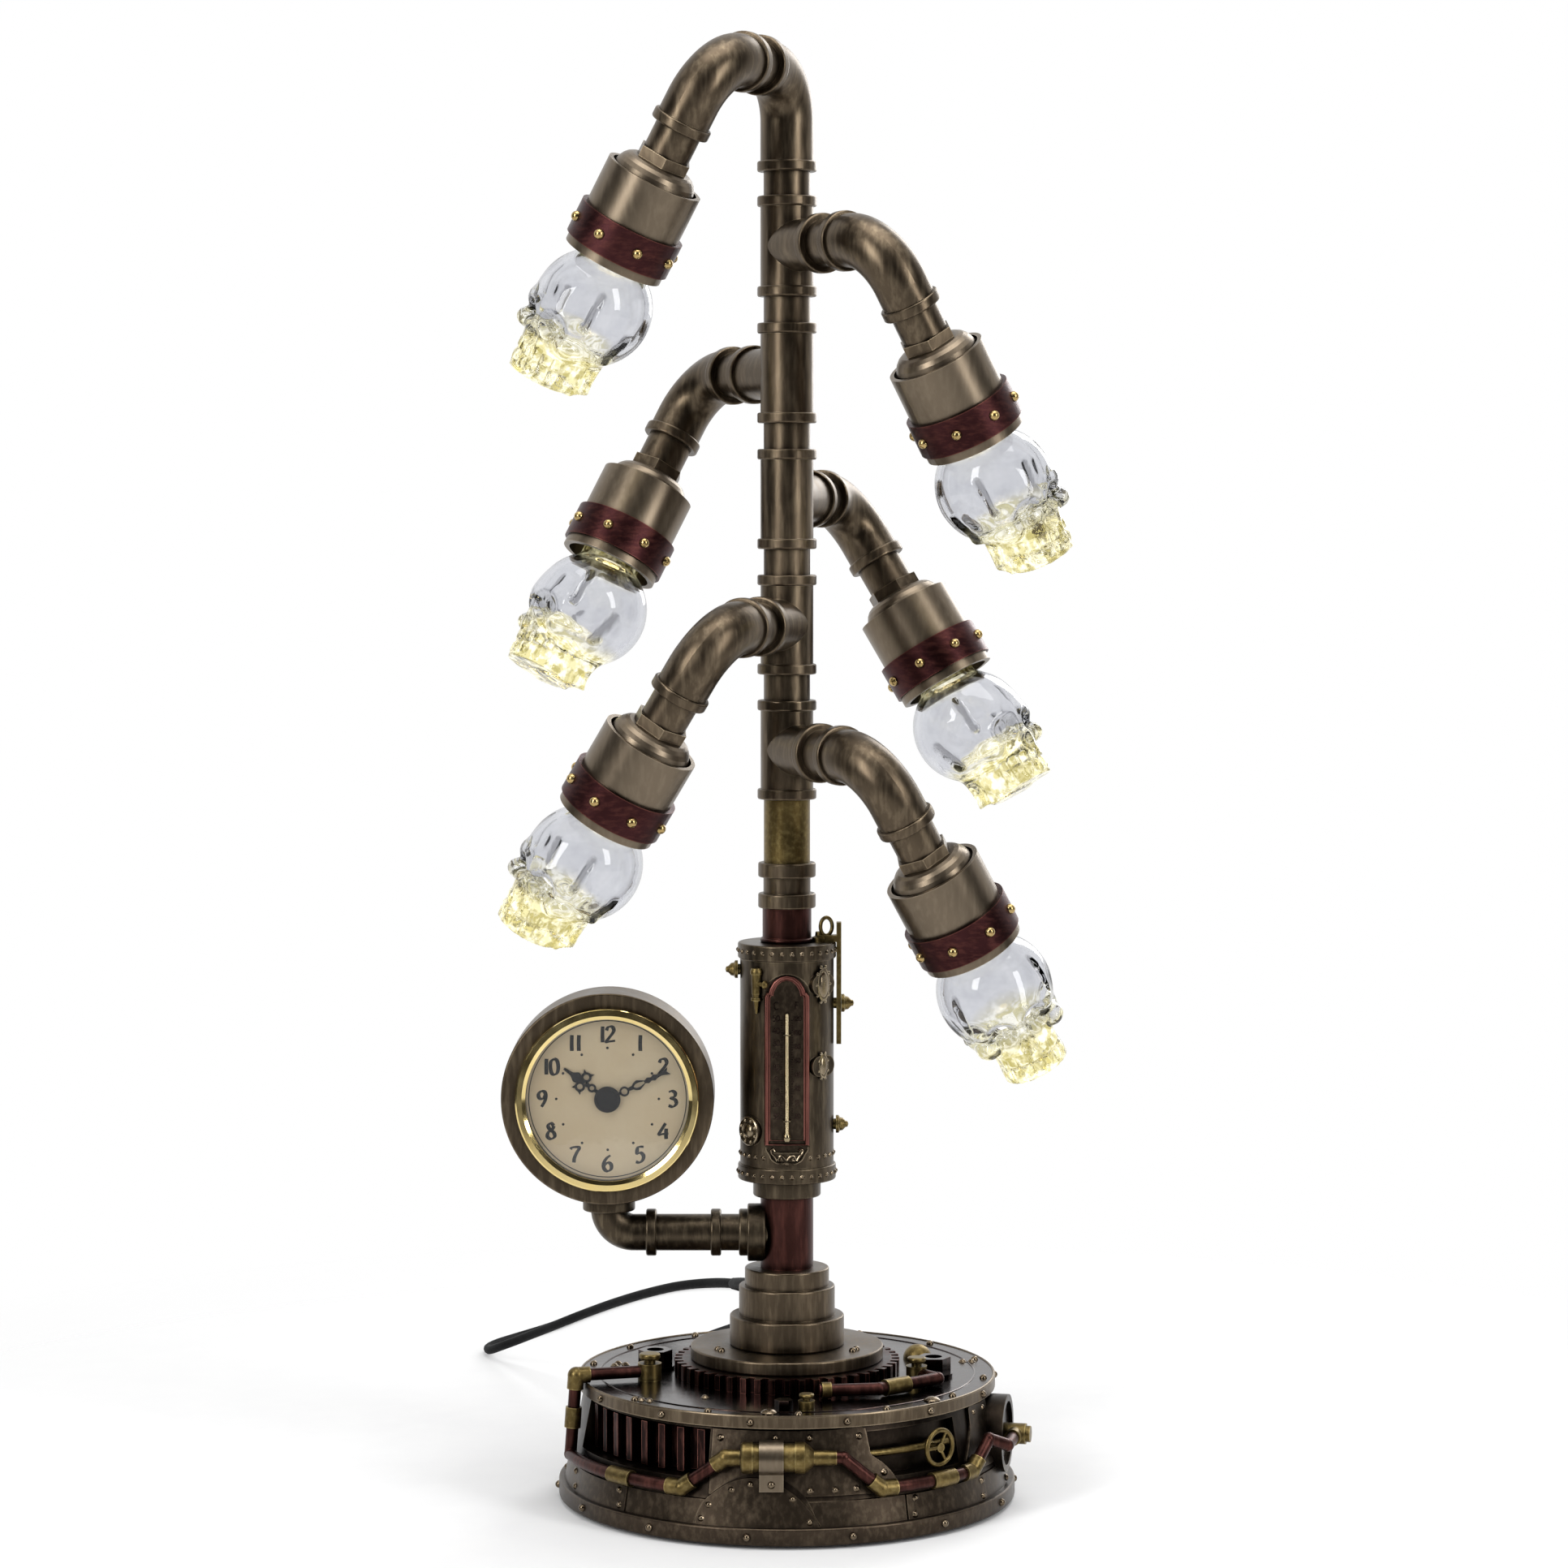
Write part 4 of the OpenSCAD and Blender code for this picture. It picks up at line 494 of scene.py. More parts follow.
LEAD_POINTS = [
    (-14, 24.25, 87.6), (-21, 36, 87), (-33, 66, 82), (-49, 98, 74.5), (-65, 130, 65), (-82, 162, 54),
    (-99, 194, 42), (-117, 226, 29), (-135, 258, 16), (-147, 277, 8), (-153, 290, 3.6), (-154.5, 301, 2.6),
    (-150, 313, 2.6), (-140.5, 329, 2.6), (-124.5, 356, 2.6), (-108.5, 390, 2.6), (-92.5, 421, 2.6),
    (-75.5, 448, 2.6), (-58.5, 466, 2.6), (-41, 473, 2.6), (-24, 471, 2.6), (-8, 462, 2.6), (4, 446, 2.6),
    (8, 427, 2.6), (3, 407, 2.6), (-9, 385, 2.6), (-24, 360, 2.6), (-39, 334, 2.6), (-49, 312, 2.6),
    (-52, 297, 2.6), (-46.5, 282.5, 4), (-36.28, 270.48, 6)]
RUN_POINTS = [(8.98, 225.22, 6), (20, 214, 5), (35, 199, 4), (47.9, 186.3, 3.8)]
TAIL_POINTS = [(47.9, 137.7, 19.1), (38, 128, 17.5), (24, 119, 12), (8, 115.5, 6.5), (-4, 116, 8),
               (-10, 116, 8)]
COIL_AT = (30, 162)
COIL_Z = 3.8
COIL_START = 45
COIL_TURNS = 1.8125
COIL_LAYERS = 4
COIL_IN_R = 20.6
COIL_STEP = 5.1
COIL_RINGS = 24
CLIMB_TURNS = 0.5


def coil_point(t):
    """The coil winds clockwise, in and out again, in layers that it climbs at each reversal."""
    r = COIL_IN_R + COIL_STEP * abs(COIL_TURNS - t % (2 * COIL_TURNS))
    a = math.radians(COIL_START - 360 * t)
    climbed = sum(min(max((t - k * COIL_TURNS) / CLIMB_TURNS + 0.5, 0), 1) for k in range(1, COIL_LAYERS))
    return (COIL_AT[0] + r * math.cos(a), COIL_AT[1] + r * math.sin(a), COIL_Z + COIL_STEP * climbed)


def cord_piece(name, path, replaced):
    data = bpy.data.curves.new(name, "CURVE")
    data.dimensions = "3D"
    data.bevel_depth = CORD_D / 2 * MM
    data.bevel_resolution = 3
    data.use_fill_caps = True
    spline = data.splines.new("POLY")
    spline.points.add(len(path) - 1)
    for point, p in zip(spline.points, path):
        point.co = (*(p * MM), 1.0)
    data.materials.append(black_cord)
    made = bpy.data.objects.new(name, data)
    scene.collection.objects.link(made)
    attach(made, "lamp")
    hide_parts(*replaced)
    return made


coil_total = COIL_LAYERS * COIL_TURNS
coil_last = round(coil_total * COIL_RINGS)
coil_path = [Vector(coil_point(k * coil_total / coil_last)) for k in range(coil_last + 1)]
lead_path = smooth_line(LEAD_POINTS, 4)
supply_path = smooth_line(RUN_POINTS, 4)[:-1] + coil_path + smooth_line(TAIL_POINTS, 4)[1:]
lead = cord_piece("cord_to_switch", lead_path, ["cord_lead"])
supply = cord_piece("cord_to_plug", supply_path, ["cord_run", "cord_coil", "cord_tail"])


RIB_PITCH = 1.2
RIB_DEPTH = 0.35


def strain_relief(shape, path, length, wide):
    """A ribbed sleeve that tapers along the first stretch of a cord."""
    run, so_far, radii = [path[0]], 0.0, [wide]
    rib = 0
    for a, b in zip(path, path[1:]):
        steps = max(int((b - a).length / RIB_PITCH), 1)
        for k in range(1, steps + 1):
            point = a.lerp(b, k / steps)
            so_far += (point - run[-1]).length
            if so_far > length:
                shape.tube(run, radii, sides=16)
                return
            run.append(point)
            rib += 1
            taper = wide + (CORD_D / 2 + RIB_DEPTH - wide) * so_far / length
            radii.append(taper - (RIB_DEPTH if rib % 2 else 0.0))


def reliefs(name, path, first, last):
    """Sleeves at a cord's two ends, each with a length and a width."""
    sleeves = Shape()
    strain_relief(sleeves, path, *first)
    strain_relief(sleeves, path[::-1], *last)
    return piece(name, sleeves, "lamp", black_plastic)


lead_relief = reliefs("lead_strain_reliefs", lead_path, (24, 4.0), (22, 3.6))
supply_relief = reliefs("supply_strain_reliefs", supply_path, (22, 3.6), (24, 4.2))


# Glass skulls

def smooth_min(a, b, k):
    h = np.clip(0.5 + 0.5 * (b - a) / k, 0.0, 1.0)
    return b * (1 - h) + a * h - k * h * (1 - h)


def cut(a, b, k):
    """Takes b out of a with an eased rim."""
    return -smooth_min(-a, b, k)


def egg(p, centre, radii):
    q = p - np.array(centre)
    r = np.array(radii)
    near = np.linalg.norm(q / r, axis=-1)
    return near * (near - 1.0) / np.maximum(np.linalg.norm(q / (r * r), axis=-1), TINY)


def post(p, x, r, low, high):
    """An upright cylinder."""
    wall = np.hypot(p[..., 0] - x, p[..., 1]) - r
    return np.maximum(wall, np.maximum(low - p[..., 2], p[..., 2] - high))


def bar(p, a, b, r):
    """A round-ended bar."""
    a = np.array(a, float)
    d = np.array(b, float) - a
    t = np.clip(((p - a) @ d) / (d @ d), 0.0, 1.0)
    return np.linalg.norm(p - a - t[..., None] * d, axis=-1) - r


CHIN = 58.3
NECK_TOP = -18.9


def step(x, low, high):
    t = np.clip((x - low) / (high - low), 0.0, 1.0)
    return t * t * (3 - 2 * t)


EYE = (24.8, 9.0, 33.4), (8.0, 6.3, 5.4)
NOSE = (25.2, 1.7, 42.2), (5.2, 2.3, 4.4)
TEMPLE = (9.5, 31.8, 27.5), (8.5, 10.0, 10.5)
GROOVE = (-4.0, 25.6, 25.0), (-0.5, 21.8, 38.5), 2.0
TEMPLE_LINE = (13.0, 18.9, 11.0), (14.5, 18.6, 27.0), 1.4


def both_sides(p):
    """Folds the left half onto the right."""
    return np.stack([p[..., 0], np.abs(p[..., 1]), p[..., 2]], -1)


def teeth(p):
    """How much a point lies at the front, in the rows of teeth, and on a tooth rather than a gap."""
    around = np.arctan2(p[..., 1], p[..., 0] - 4.0)
    front = step(np.cos(around), 0.25, 0.6)
    rows = step(p[..., 2], 45.2, 46.4) * step(-p[..., 2], -56.4, -55.2)
    lip = 1 - np.exp(-((p[..., 2] - 50.7) / 0.7) ** 2)
    return front, rows, np.abs(np.cos(around * 10.0)) ** 0.6 * lip


def skull_outside(p):
    mirrored = both_sides(p)
    d = egg(p, (-1.7, 0, 22), (25.9, 25.4, 25.4))
    d = smooth_min(d, egg(p, (5.5, 0, 26.5), (20.0, 19.0, 16.5)), 4.0)
    d = smooth_min(d, egg(p, (9.5, 0, 39), (14.0, 13.5, 15.0)), 4.0)
    d = smooth_min(d, bar(mirrored, (20.5, 2.5, 26.5), (15.5, 15.0, 28.5), 4.2), 3.0)
    d = smooth_min(d, egg(mirrored, (14.0, 15.5, 38.5), (6.5, 5.0, 4.6)), 3.0)
    d = smooth_min(d, bar(mirrored, (13.0, 17.5, 38.5), (-3.0, 20.0, 37.5), 2.3), 3.0)
    front, rows, tooth = teeth(p)
    jaw = smooth_min(post(p, 7.6, 14.6, 36, CHIN), post(p, -5.5, 12.4, 38, CHIN - 0.8), 5.0)
    d = smooth_min(d, jaw - 1.2 * front * rows * (tooth - 0.55), 2.2)
    d = cut(d, egg(mirrored, *EYE), 1.8)
    d = cut(d, egg(mirrored, *NOSE), 1.0)
    d = cut(d, egg(mirrored, *TEMPLE), 3.0)
    d = cut(d, bar(mirrored, *GROOVE), 0.8)
    d = cut(d, bar(mirrored, *TEMPLE_LINE), 0.8)
    d = cut(d, egg(mirrored, (11.0, 20.0, 48.5), (7.5, 6.0, 6.5)), 3.0)
    d = cut(d, egg(p, (-21.0, 0, 52.0), (11.0, 14.0, 9.5)), 3.0)
    return smooth_min(d, post(p, 0.0, 13.4, NECK_TOP, 20), 1.2)


def skull_inside(p):
    d = egg(p, (-1.7, 0, 22), (22.9, 22.4, 22.4))
    d = smooth_min(d, egg(p, (5.5, 0, 26.5), (15.5, 15.0, 12.5)), 4.0)
    return smooth_min(d, post(p, 0.0, 9.8, NECK_TOP + 2.0, 20), 2.0)


STAR_STEPS = 140
STAR_PACE = 0.55


def star(form, centre, rows, columns):
    """Points where rays from a centre leave a form, by angle from the neck and angle round the axis."""
    theta, phi = np.meshgrid(rows, columns, indexing="ij")
    rays = np.stack([np.sin(theta) * np.cos(phi), np.sin(theta) * np.sin(phi), -np.cos(theta)], -1)
    reach = np.full(theta.shape, 2.0)
    for _ in range(STAR_STEPS):
        reach = reach - STAR_PACE * form(np.array(centre) + reach[..., None] * rays)
    return np.array(centre) + reach[..., None] * rays


def near(distance, width):
    """1 on a form's surface, falling away within a width."""
    return np.exp(-(distance / width) ** 2)


def skull_creases(p):
    """Painted shade: dark lines at the eye sockets, nose, temples and between the teeth."""
    mirrored = both_sides(p)
    eye = egg(mirrored, *EYE)
    lines = [(0.5, eye, 0.9), (0.75, egg(mirrored, *NOSE), 0.7), (0.85, bar(mirrored, *GROOVE), 0.6),
             (0.8, bar(mirrored, *TEMPLE_LINE), 0.5), (0.7, eye - 1.6, 0.5)]
    front, rows, tooth = teeth(p)
    gaps = 0.9 * front * rows * step(0.5 - tooth, 0.0, 0.35)
    return np.max([gaps] + [dark * near(away, width) for dark, away, width in lines], axis=0)


def skull_rows():
    spans = [(0.6, 16.2, 5), (16.3, 27.5, 12), (27.6, 100, 40), (101, 158, 56), (159, 179.4, 12)]
    return np.radians(np.concatenate([np.linspace(a, b, n) for a, b, n in spans]))


def skull_columns(count):
    """Angles round the axis, closest together at the face."""
    u = np.linspace(-math.pi, math.pi, count, endpoint=False)
    return u - 0.5 * np.sin(u)


def grid_faces(rows, columns, start, flip):
    faces = []
    for r in range(rows - 1):
        for c in range(columns):
            n = (c + 1) % columns
            face = [r * columns + c, (r + 1) * columns + c, (r + 1) * columns + n, r * columns + n]
            faces.append([start + k for k in (face[::-1] if flip else face)])
    ends = [list(range(columns)), [(rows - 1) * columns + c for c in range(columns)][::-1]]
    return faces + [[start + k for k in (face[::-1] if flip else face)] for face in ends]


SKULL_COLUMNS = 150
INNER_COLUMNS = 64
skull_points = star(skull_outside, (0, 0, 27), skull_rows(), skull_columns(SKULL_COLUMNS)).reshape(-1, 3)
inner_rows = np.radians(np.linspace(1, 179, 56))
inner_columns = np.linspace(-math.pi, math.pi, INNER_COLUMNS, endpoint=False)
inner_points = star(skull_inside, (-1, 0, 22), inner_rows, inner_columns).reshape(-1, 3)
skull_faces = grid_faces(len(skull_rows()), SKULL_COLUMNS, 0, True)
skull_faces += grid_faces(len(inner_rows), INNER_COLUMNS, len(skull_points), False)
all_points = np.concatenate([skull_points, inner_points])
# Painted light: how strongly the jaw and neck glow, brightest at the front of the jaw.
jaw_glow = step(all_points[:, 2], 33.0, 46.0) * (0.75 + 0.25 * step(all_points[:, 0], -10, 12))
neck_glow = 0.8 * step(-all_points[:, 2], -5.0, 3.0)
glow_values = jaw_glow + neck_glow
glow_values[len(skull_points):] *= 0.4
# Painted shade in the creases, kept on each point.
crease_shade_values = skull_creases(all_points)
outer_values = (np.arange(len(all_points)) < len(skull_points)).astype(float)
for i in range(LAMPS):
    shape = Shape()
    shape.add([tuple(p) for p in all_points], skull_faces, at_skull(i))
    made = piece("skull_%d_glass" % (i + 1), shape, "skull_%d" % (i + 1), glass_skull,
                 ["glass_skull_%d" % (i + 1)], sharp=80)
    for layer_name, values in ((GLOW, glow_values), (CREASE_SHADE, crease_shade_values), (OUTER, outer_values)):
        layer = made.data.attributes.new(layer_name, "FLOAT", "POINT")
        layer.data.foreach_set("value", values.astype(np.float32))


# Clock face and hands

DIGITS = {
    "0": [[(0.3, 1.0), (0.1, 0.82), (0.06, 0.45), (0.14, 0.1), (0.32, 0.0), (0.5, 0.14), (0.56, 0.5),
           (0.48, 0.88), (0.3, 1.0)]],
    "1": [[(0.26, 1.0), (0.24, 0.5), (0.25, 0.0)]],
    "2": [[(0.06, 0.74), (0.16, 0.95), (0.4, 0.98), (0.52, 0.78), (0.42, 0.54), (0.2, 0.26), (0.05, 0.03),
           (0.3, 0.06), (0.6, 0.1)]],
    "3": [[(0.1, 0.93), (0.3, 1.0), (0.5, 0.88), (0.46, 0.66), (0.24, 0.56), (0.5, 0.44), (0.57, 0.2),
           (0.36, 0.0), (0.08, 0.08)]],
    "4": [[(0.44, 1.0), (0.24, 0.68), (0.03, 0.3), (0.32, 0.32), (0.62, 0.34)],
          [(0.48, 0.66), (0.46, 0.3), (0.48, 0.0)]],
    "5": [[(0.55, 1.0), (0.2, 0.96), (0.14, 0.58), (0.36, 0.62), (0.54, 0.44), (0.5, 0.18), (0.3, 0.0),
           (0.06, 0.05)]],
    "6": [[(0.5, 1.0), (0.26, 0.82), (0.08, 0.5), (0.1, 0.16), (0.32, 0.0), (0.54, 0.14), (0.54, 0.42),
           (0.34, 0.54), (0.12, 0.38)]],
    "7": [[(0.04, 0.84), (0.16, 0.96), (0.58, 0.95), (0.42, 0.62), (0.28, 0.3), (0.24, 0.0)]],
    "8": [[(0.48, 0.84), (0.3, 1.0), (0.12, 0.83), (0.24, 0.6), (0.48, 0.4), (0.53, 0.15), (0.3, 0.0),
           (0.08, 0.15), (0.14, 0.42), (0.4, 0.62), (0.48, 0.84)]],
    "9": [[(0.5, 0.74), (0.36, 0.52), (0.14, 0.54), (0.07, 0.78), (0.24, 0.98), (0.46, 0.94), (0.54, 0.68),
           (0.46, 0.34), (0.26, 0.0)]],
    "C": [[(0.55, 0.82), (0.36, 1.0), (0.12, 0.82), (0.06, 0.5), (0.14, 0.14), (0.36, 0.0), (0.56, 0.16)]],
    "F": [[(0.1, 0.0), (0.1, 0.5), (0.1, 1.0)], [(0.1, 0.97), (0.3, 0.97), (0.54, 0.97)],
          [(0.1, 0.52), (0.28, 0.52), (0.44, 0.52)]],
}
DIGIT_WIDTH = {"1": 0.44}
NIB = Vector((math.cos(math.radians(20)), math.sin(math.radians(20)), 0))


def pen_stroke(shape, points, at, thin, wide, height):
    """A flat pen stroke along a smooth line, broad across the nib and thin along it."""
    path = smooth_line([(x, y, 0) for x, y in points], 6)
    last = len(path) - 1
    corners = []
    for k, p in enumerate(path):
        way = (path[min(k + 1, last)] - path[max(k - 1, 0)]).normalized()
        across = Vector((-way.y, way.x, 0))
        half = across * (thin + (wide - thin) * abs(across.dot(NIB))) / 2
        for q, z in ((p + half, 0), (p + half, height), (p - half, height), (p - half, 0)):
            corners.append((q.x, q.y, z))
    faces = [[0, 1, 2, 3], [4 * last + 3, 4 * last + 2, 4 * last + 1, 4 * last]]
    for k in range(last):
        for s in range(4):
            n = (s + 1) % 4
            faces.append([4 * k + s, 4 * (k + 1) + s, 4 * (k + 1) + n, 4 * k + n])
    shape.add(corners, faces, at)


def number(shape, text, size, at, thin=0.07, wide=0.17, height=0.1):
    """Numerals of a height, drawn about the middle of their frame."""
    width = sum(DIGIT_WIDTH.get(c, 0.66) for c in text)
    x = -width / 2
    for c in text:
        for points in DIGITS[c]:
            drawn = [((x + px) * size, (py - 0.5) * size) for px, py in points]
            pen_stroke(shape, drawn, at, thin * size, wide * size, height)
        x += DIGIT_WIDTH.get(c, 0.66)


NUMERAL_R = 28.6
NUMERAL_SIZE = 7.0
DOT_R = 22.6
print_ink = Shape()
for hour in range(1, 13):
    a = math.radians(30 * hour)
    spot = AT_CLOCK @ moved(NUMERAL_R * math.sin(a), NUMERAL_R * math.cos(a), DIAL_FACE)
    number(print_ink, str(hour), NUMERAL_SIZE, spot, 0.10, 0.25)
    dot = AT_CLOCK @ moved(DOT_R * math.sin(a), DOT_R * math.cos(a), DIAL_FACE)
    print_ink.lathe([(0.6, 0), (0.6, 0.1), (0, 0.1)], dot, 12)
print_ink.washer(34.9, 34.5, DIAL_FACE, DIAL_FACE + 0.1, AT_CLOCK, 96)
piece("dial_numerals", print_ink, "clock_insert", black_hand)

HOUR_Z = 12.4
MINUTE_Z = 13.5
HAND_T = 0.6
CAP_R = 5.8
HOUR_ANGLE = 305.4
MINUTE_ANGLE = 64.7
HAND_SHARP = 30


def hour_shape():
    s = Shape()
    at = AT_CLOCK @ turned(-HOUR_ANGLE, "Z")
    low, high = HOUR_Z, HOUR_Z + HAND_T
    s.washer(4.4, 2.05, low, high, at)
    s.plate([(-0.9, 3.9), (0.9, 3.9), (0.7, 7.2), (-0.7, 7.2)], low, high, at)
    s.washer(1.9, 1.0, low, high, at @ moved(0, 8.4, 0), 20)
    s.plate([(-0.8, 9.9), (0.8, 9.9), (1.4, 12.0), (-1.4, 12.0)], low, high, at)
    for side in (-1, 1):
        s.washer(2.3, 1.25, low, high, at @ moved(side * 2.5, 13.1, 0), 22)
        s.plate([(side * 3.6, 11.6), (side * 5.5, 10.9), (side * 4.6, 13.0)][::side], low, high, at)
        s.plate([(side * 4.2, 14.2), (side * 4.9, 15.9), (side * 2.9, 15.2)][::side], low, high, at)
    s.plate([(0, 12.2), (1.9, 15.0), (2.4, 17.0), (0.9, 19.2), (0.45, 23.4), (-0.45, 23.4), (-0.9, 19.2),
             (-2.4, 17.0), (-1.9, 15.0)], low, high, at)
    return s


def minute_shape():
    s = Shape()
    at = AT_CLOCK @ turned(-MINUTE_ANGLE, "Z")
    low, high = MINUTE_Z, MINUTE_Z + HAND_T
    s.washer(4.4, 1.25, low, high, at)
    s.plate([(-0.8, 3.9), (0.8, 3.9), (0.6, 6.4), (-0.6, 6.4)], low, high, at)
    s.washer(2.2, 1.35, low, high, at @ moved(0, 8.3, 0), 22)
    s.plate([(-0.7, 10.2), (0.7, 10.2), (0.9, 12.2), (-0.9, 12.2)], low, high, at)
    for side in (-1, 1):
        leaf = [(0, 11.4), (1.7, 13.2), (2.3, 15.0), (1.3, 17.2), (0.5, 18.6), (0.5, 17.6), (1.0, 15.6),
                (0.9, 13.9), (0, 12.8)]
        s.plate([(side * x, y) for x, y in leaf][::side], low, high, at)
    right = [(0.5, 18.0), (1.3, 19.8), (0.7, 21.4), (1.4, 22.8), (0.8, 24.0), (0.6, 26.4), (1.7, 30.0)]
    s.plate(right + [(0, 28.9)] + [(-x, y) for x, y in right[::-1]], low, high, at)
    top = MINUTE_Z + HAND_T
    s.lathe([(0, top - 0.1), (CAP_R, top - 0.1), (CAP_R, top + 0.35), (CAP_R - 0.5, top + 0.62),
             (CAP_R - 1.2, top + 0.7), (CAP_R - 1.4, top + 0.6), (CAP_R - 1.8, top + 0.72), (2.0, top + 0.88),
             (0, top + 0.9)], AT_CLOCK, 48)
    return s


piece("hour_hand_pierced", hour_shape(), "hour_hand", black_hand, ["hour_hand"],
      sharp=HAND_SHARP)
piece("minute_hand_pierced", minute_shape(), "minute_hand", black_hand, ["minute_hand"],
      sharp=HAND_SHARP)


# Thermometer

FLAT_Y = 18.013
FRAME_Z = 156.4
AT_FLAT = moved(0, -FLAT_Y, FRAME_Z) @ turned(90, "X")


def arch(half, low, shoulder, step_in, peak):
    """Outline of a frame whose arched head steps in at its shoulders."""
    neck = half - step_in
    right = [(half, low), (half, shoulder), (half - step_in * 0.4, shoulder + 1.1), (neck, shoulder + 1.2),
             (neck - 0.5, shoulder + 3.4), (neck - 2.2, peak - 2.4), (neck - 4.6, peak - 0.6), (0, peak)]
    return right + [(-x, y) for x, y in right[-2::-1]]


PLATE_HALF = 9.9
PLATE_FOOT = 0.1
PLATE_SHOULDER = 68.5
FLOOR_Z = 1.25
plate_outline = [(-PLATE_HALF, PLATE_FOOT), (PLATE_HALF, PLATE_FOOT), (PLATE_HALF, PLATE_SHOULDER)]
for a in np.linspace(0.15, math.pi - 0.15, 20):
    plate_outline.append((PLATE_HALF * math.cos(a), PLATE_SHOULDER + PLATE_HALF * math.sin(a)))
plate_outline.append((-PLATE_HALF, PLATE_SHOULDER))
plate_shape = Shape()
plate_shape.plate(plate_outline, 0.02, FLOOR_Z, AT_FLAT)
piece("thermometer_plate", plate_shape, "lamp", base_bronze, ["thermometer_frame"])
BORDER_LOW = 3.4
border = Shape()
border_path = arch(8.9, BORDER_LOW, 68.8, 1.6, 77.2)
inner_path = [(x * 0.86, 5.2 + (y - BORDER_LOW) * 0.962, 1.3) for x, y in border_path]
border.tube([(x, y, 1.55) for x, y in border_path], 1.05, AT_FLAT, 10, closed=True)
border.tube(inner_path, 0.4, AT_FLAT, 8, closed=True)
piece("thermometer_border", border, "lamp", rose_copper)

scale_marks = Shape()
SCALE_FIRST = 15.9
SCALE_PITCH = 5.4
SCALE_PEN = (0.09, 0.16, 0.22)
LETTER_PEN = (0.08, 0.14, 0.22)
for k, text in enumerate(["30", "20", "10", "0", "10", "20", "30", "40", "50"]):
    spot = AT_FLAT @ moved(-4.7, SCALE_FIRST + k * SCALE_PITCH, FLOOR_Z)
    number(scale_marks, text, 2.5, spot, *SCALE_PEN)
for k, text in enumerate(["20", "0", "20", "40", "60", "80", "100", "120"]):
    spot = AT_FLAT @ moved(4.6, SCALE_FIRST + k * SCALE_PITCH * 8 / 7, FLOOR_Z)
    number(scale_marks, text, 2.1, spot, *SCALE_PEN)
number(scale_marks, "C", 3.4, AT_FLAT @ moved(-4.7, 64.6, FLOOR_Z), *LETTER_PEN)
number(scale_marks, "F", 3.2, AT_FLAT @ moved(4.4, 64.8, FLOOR_Z), *LETTER_PEN)
for k in range(41):
    long = 1.1 if k % 5 == 0 else 0.6
    y = SCALE_FIRST - 1.0 + k * SCALE_PITCH / 5
    for side in (-1, 1):
        x = side * 2.0
        scale_marks.plate([(x, y), (x + side * long, y), (x + side * long, y + 0.22), (x, y + 0.22)][::side],
                          FLOOR_Z, FLOOR_Z + 0.2, AT_FLAT)
piece("thermometer_scale", scale_marks, "lamp", dark_bronze)

SPIRIT = [(0, 4.6), (1.2, 5.0), (1.75, 6.2), (1.6, 7.6), (1.0, 8.6), (0.95, 60.8), (0.6, 61.4), (0, 61.6)]
SPIRIT_Y = -20.96
spirit = Shape()
spirit.lathe(SPIRIT, moved(0, SPIRIT_Y, FRAME_Z), 16)
for y in (14.0, 52.0):
    spirit.tube([(-1.6, y, 1.4), (-1.3, y, 3.3), (0, y, 4.3), (1.3, y, 3.3), (1.6, y, 1.4)], 0.28, AT_FLAT, 8)
piece("thermometer_stem", spirit, "lamp", pale_brass, ["thermometer_tube"])


# Gauge housing trim

def on_house(x, z, rise=0.0):
    r = HOUSE_R + rise
    return Vector((x, -math.sqrt(r * r - x * x), z))


housing_rivets = Shape()
ROW_COUNT = 30
RING_R = HOUSE_R + HOUSE_RING
RIVET_ROWS = [(HOUSE_TOP - 3.4, RING_R, 0), (HOUSE_Z + 3.4, RING_R, 0), (HOUSE_Z + 11.6, HOUSE_R, 30)]
for row_z, row_r, gap in RIVET_ROWS:
    for k in range(ROW_COUNT):
        angle = -180 + (k + 0.5) * 360 / ROW_COUNT
        if abs(angle) >= gap:
            housing_rivets.rivet(0.95, outward(angle, row_r, row_z), 10)
piece("housing_rivets", housing_rivets, "lamp", head_bronze)

SCROLL_LINES = [
    (0.5, [(0.0, -4.6), (1.4, -3.0), (2.6, -2.6), (3.6, -3.4), (3.4, -4.6), (2.4, -4.4), (2.6, -3.5)]),
    (0.62, [(0.0, -5.6), (2.0, -6.2), (4.2, -5.8), (6.4, -4.4), (7.6, -2.2), (8.8, -0.4), (9.0, 1.0)]),
    (0.45, [(4.4, -4.8), (5.4, -3.0), (6.6, -1.8), (7.0, -0.4), (6.0, 0.1), (5.4, -0.8)])]
scroll = Shape()
for side in (-1, 1):
    for thick, line in SCROLL_LINES:
        flat = smooth_line([(side * x, y, 0) for x, y in line], 5)
        scroll.tube([on_house(p.x, FRAME_Z + 1.2 + p.y, 0.25) for p in flat], thick, sides=8)
scroll.rivet(0.9, moved(0, -HOUSE_R, FRAME_Z - 5.0) @ turned(90, "X"), 10)
piece("housing_scroll", scroll, "lamp", head_bronze)

BOSS_RISE = 1.3
medals = Shape()
for z, scale, count in ((HOUSE_Z + 88, 1.0, 10), (HOUSE_Z + 52, 0.72, 8)):
    at = outward(47, HOUSE_R + BOSS_RISE - 0.6, z)
    dome = []
    for k in range(7):
        a = math.radians(15 * k)
        dome.append((math.cos(a) * 3.2 * scale, math.sin(a) * 1.3 * scale + 0.5))
    dome[-1] = (0, dome[-1][1])
    stretched = at @ Matrix.Diagonal((1.9, 1.0, 1.0, 1.0))
    medals.lathe([(3.9 * scale, 0.0), (3.9 * scale, 0.7), (3.3 * scale, 0.8)] + dome, stretched, 28)
    for k in range(count):
        a = 2 * math.pi * (k + 0.5) / count
        spot = at @ moved(4.6 * 1.75 * scale * math.cos(a), 4.4 * scale * math.sin(a), 0.35)
        medals.rivet(0.75, spot, 10)
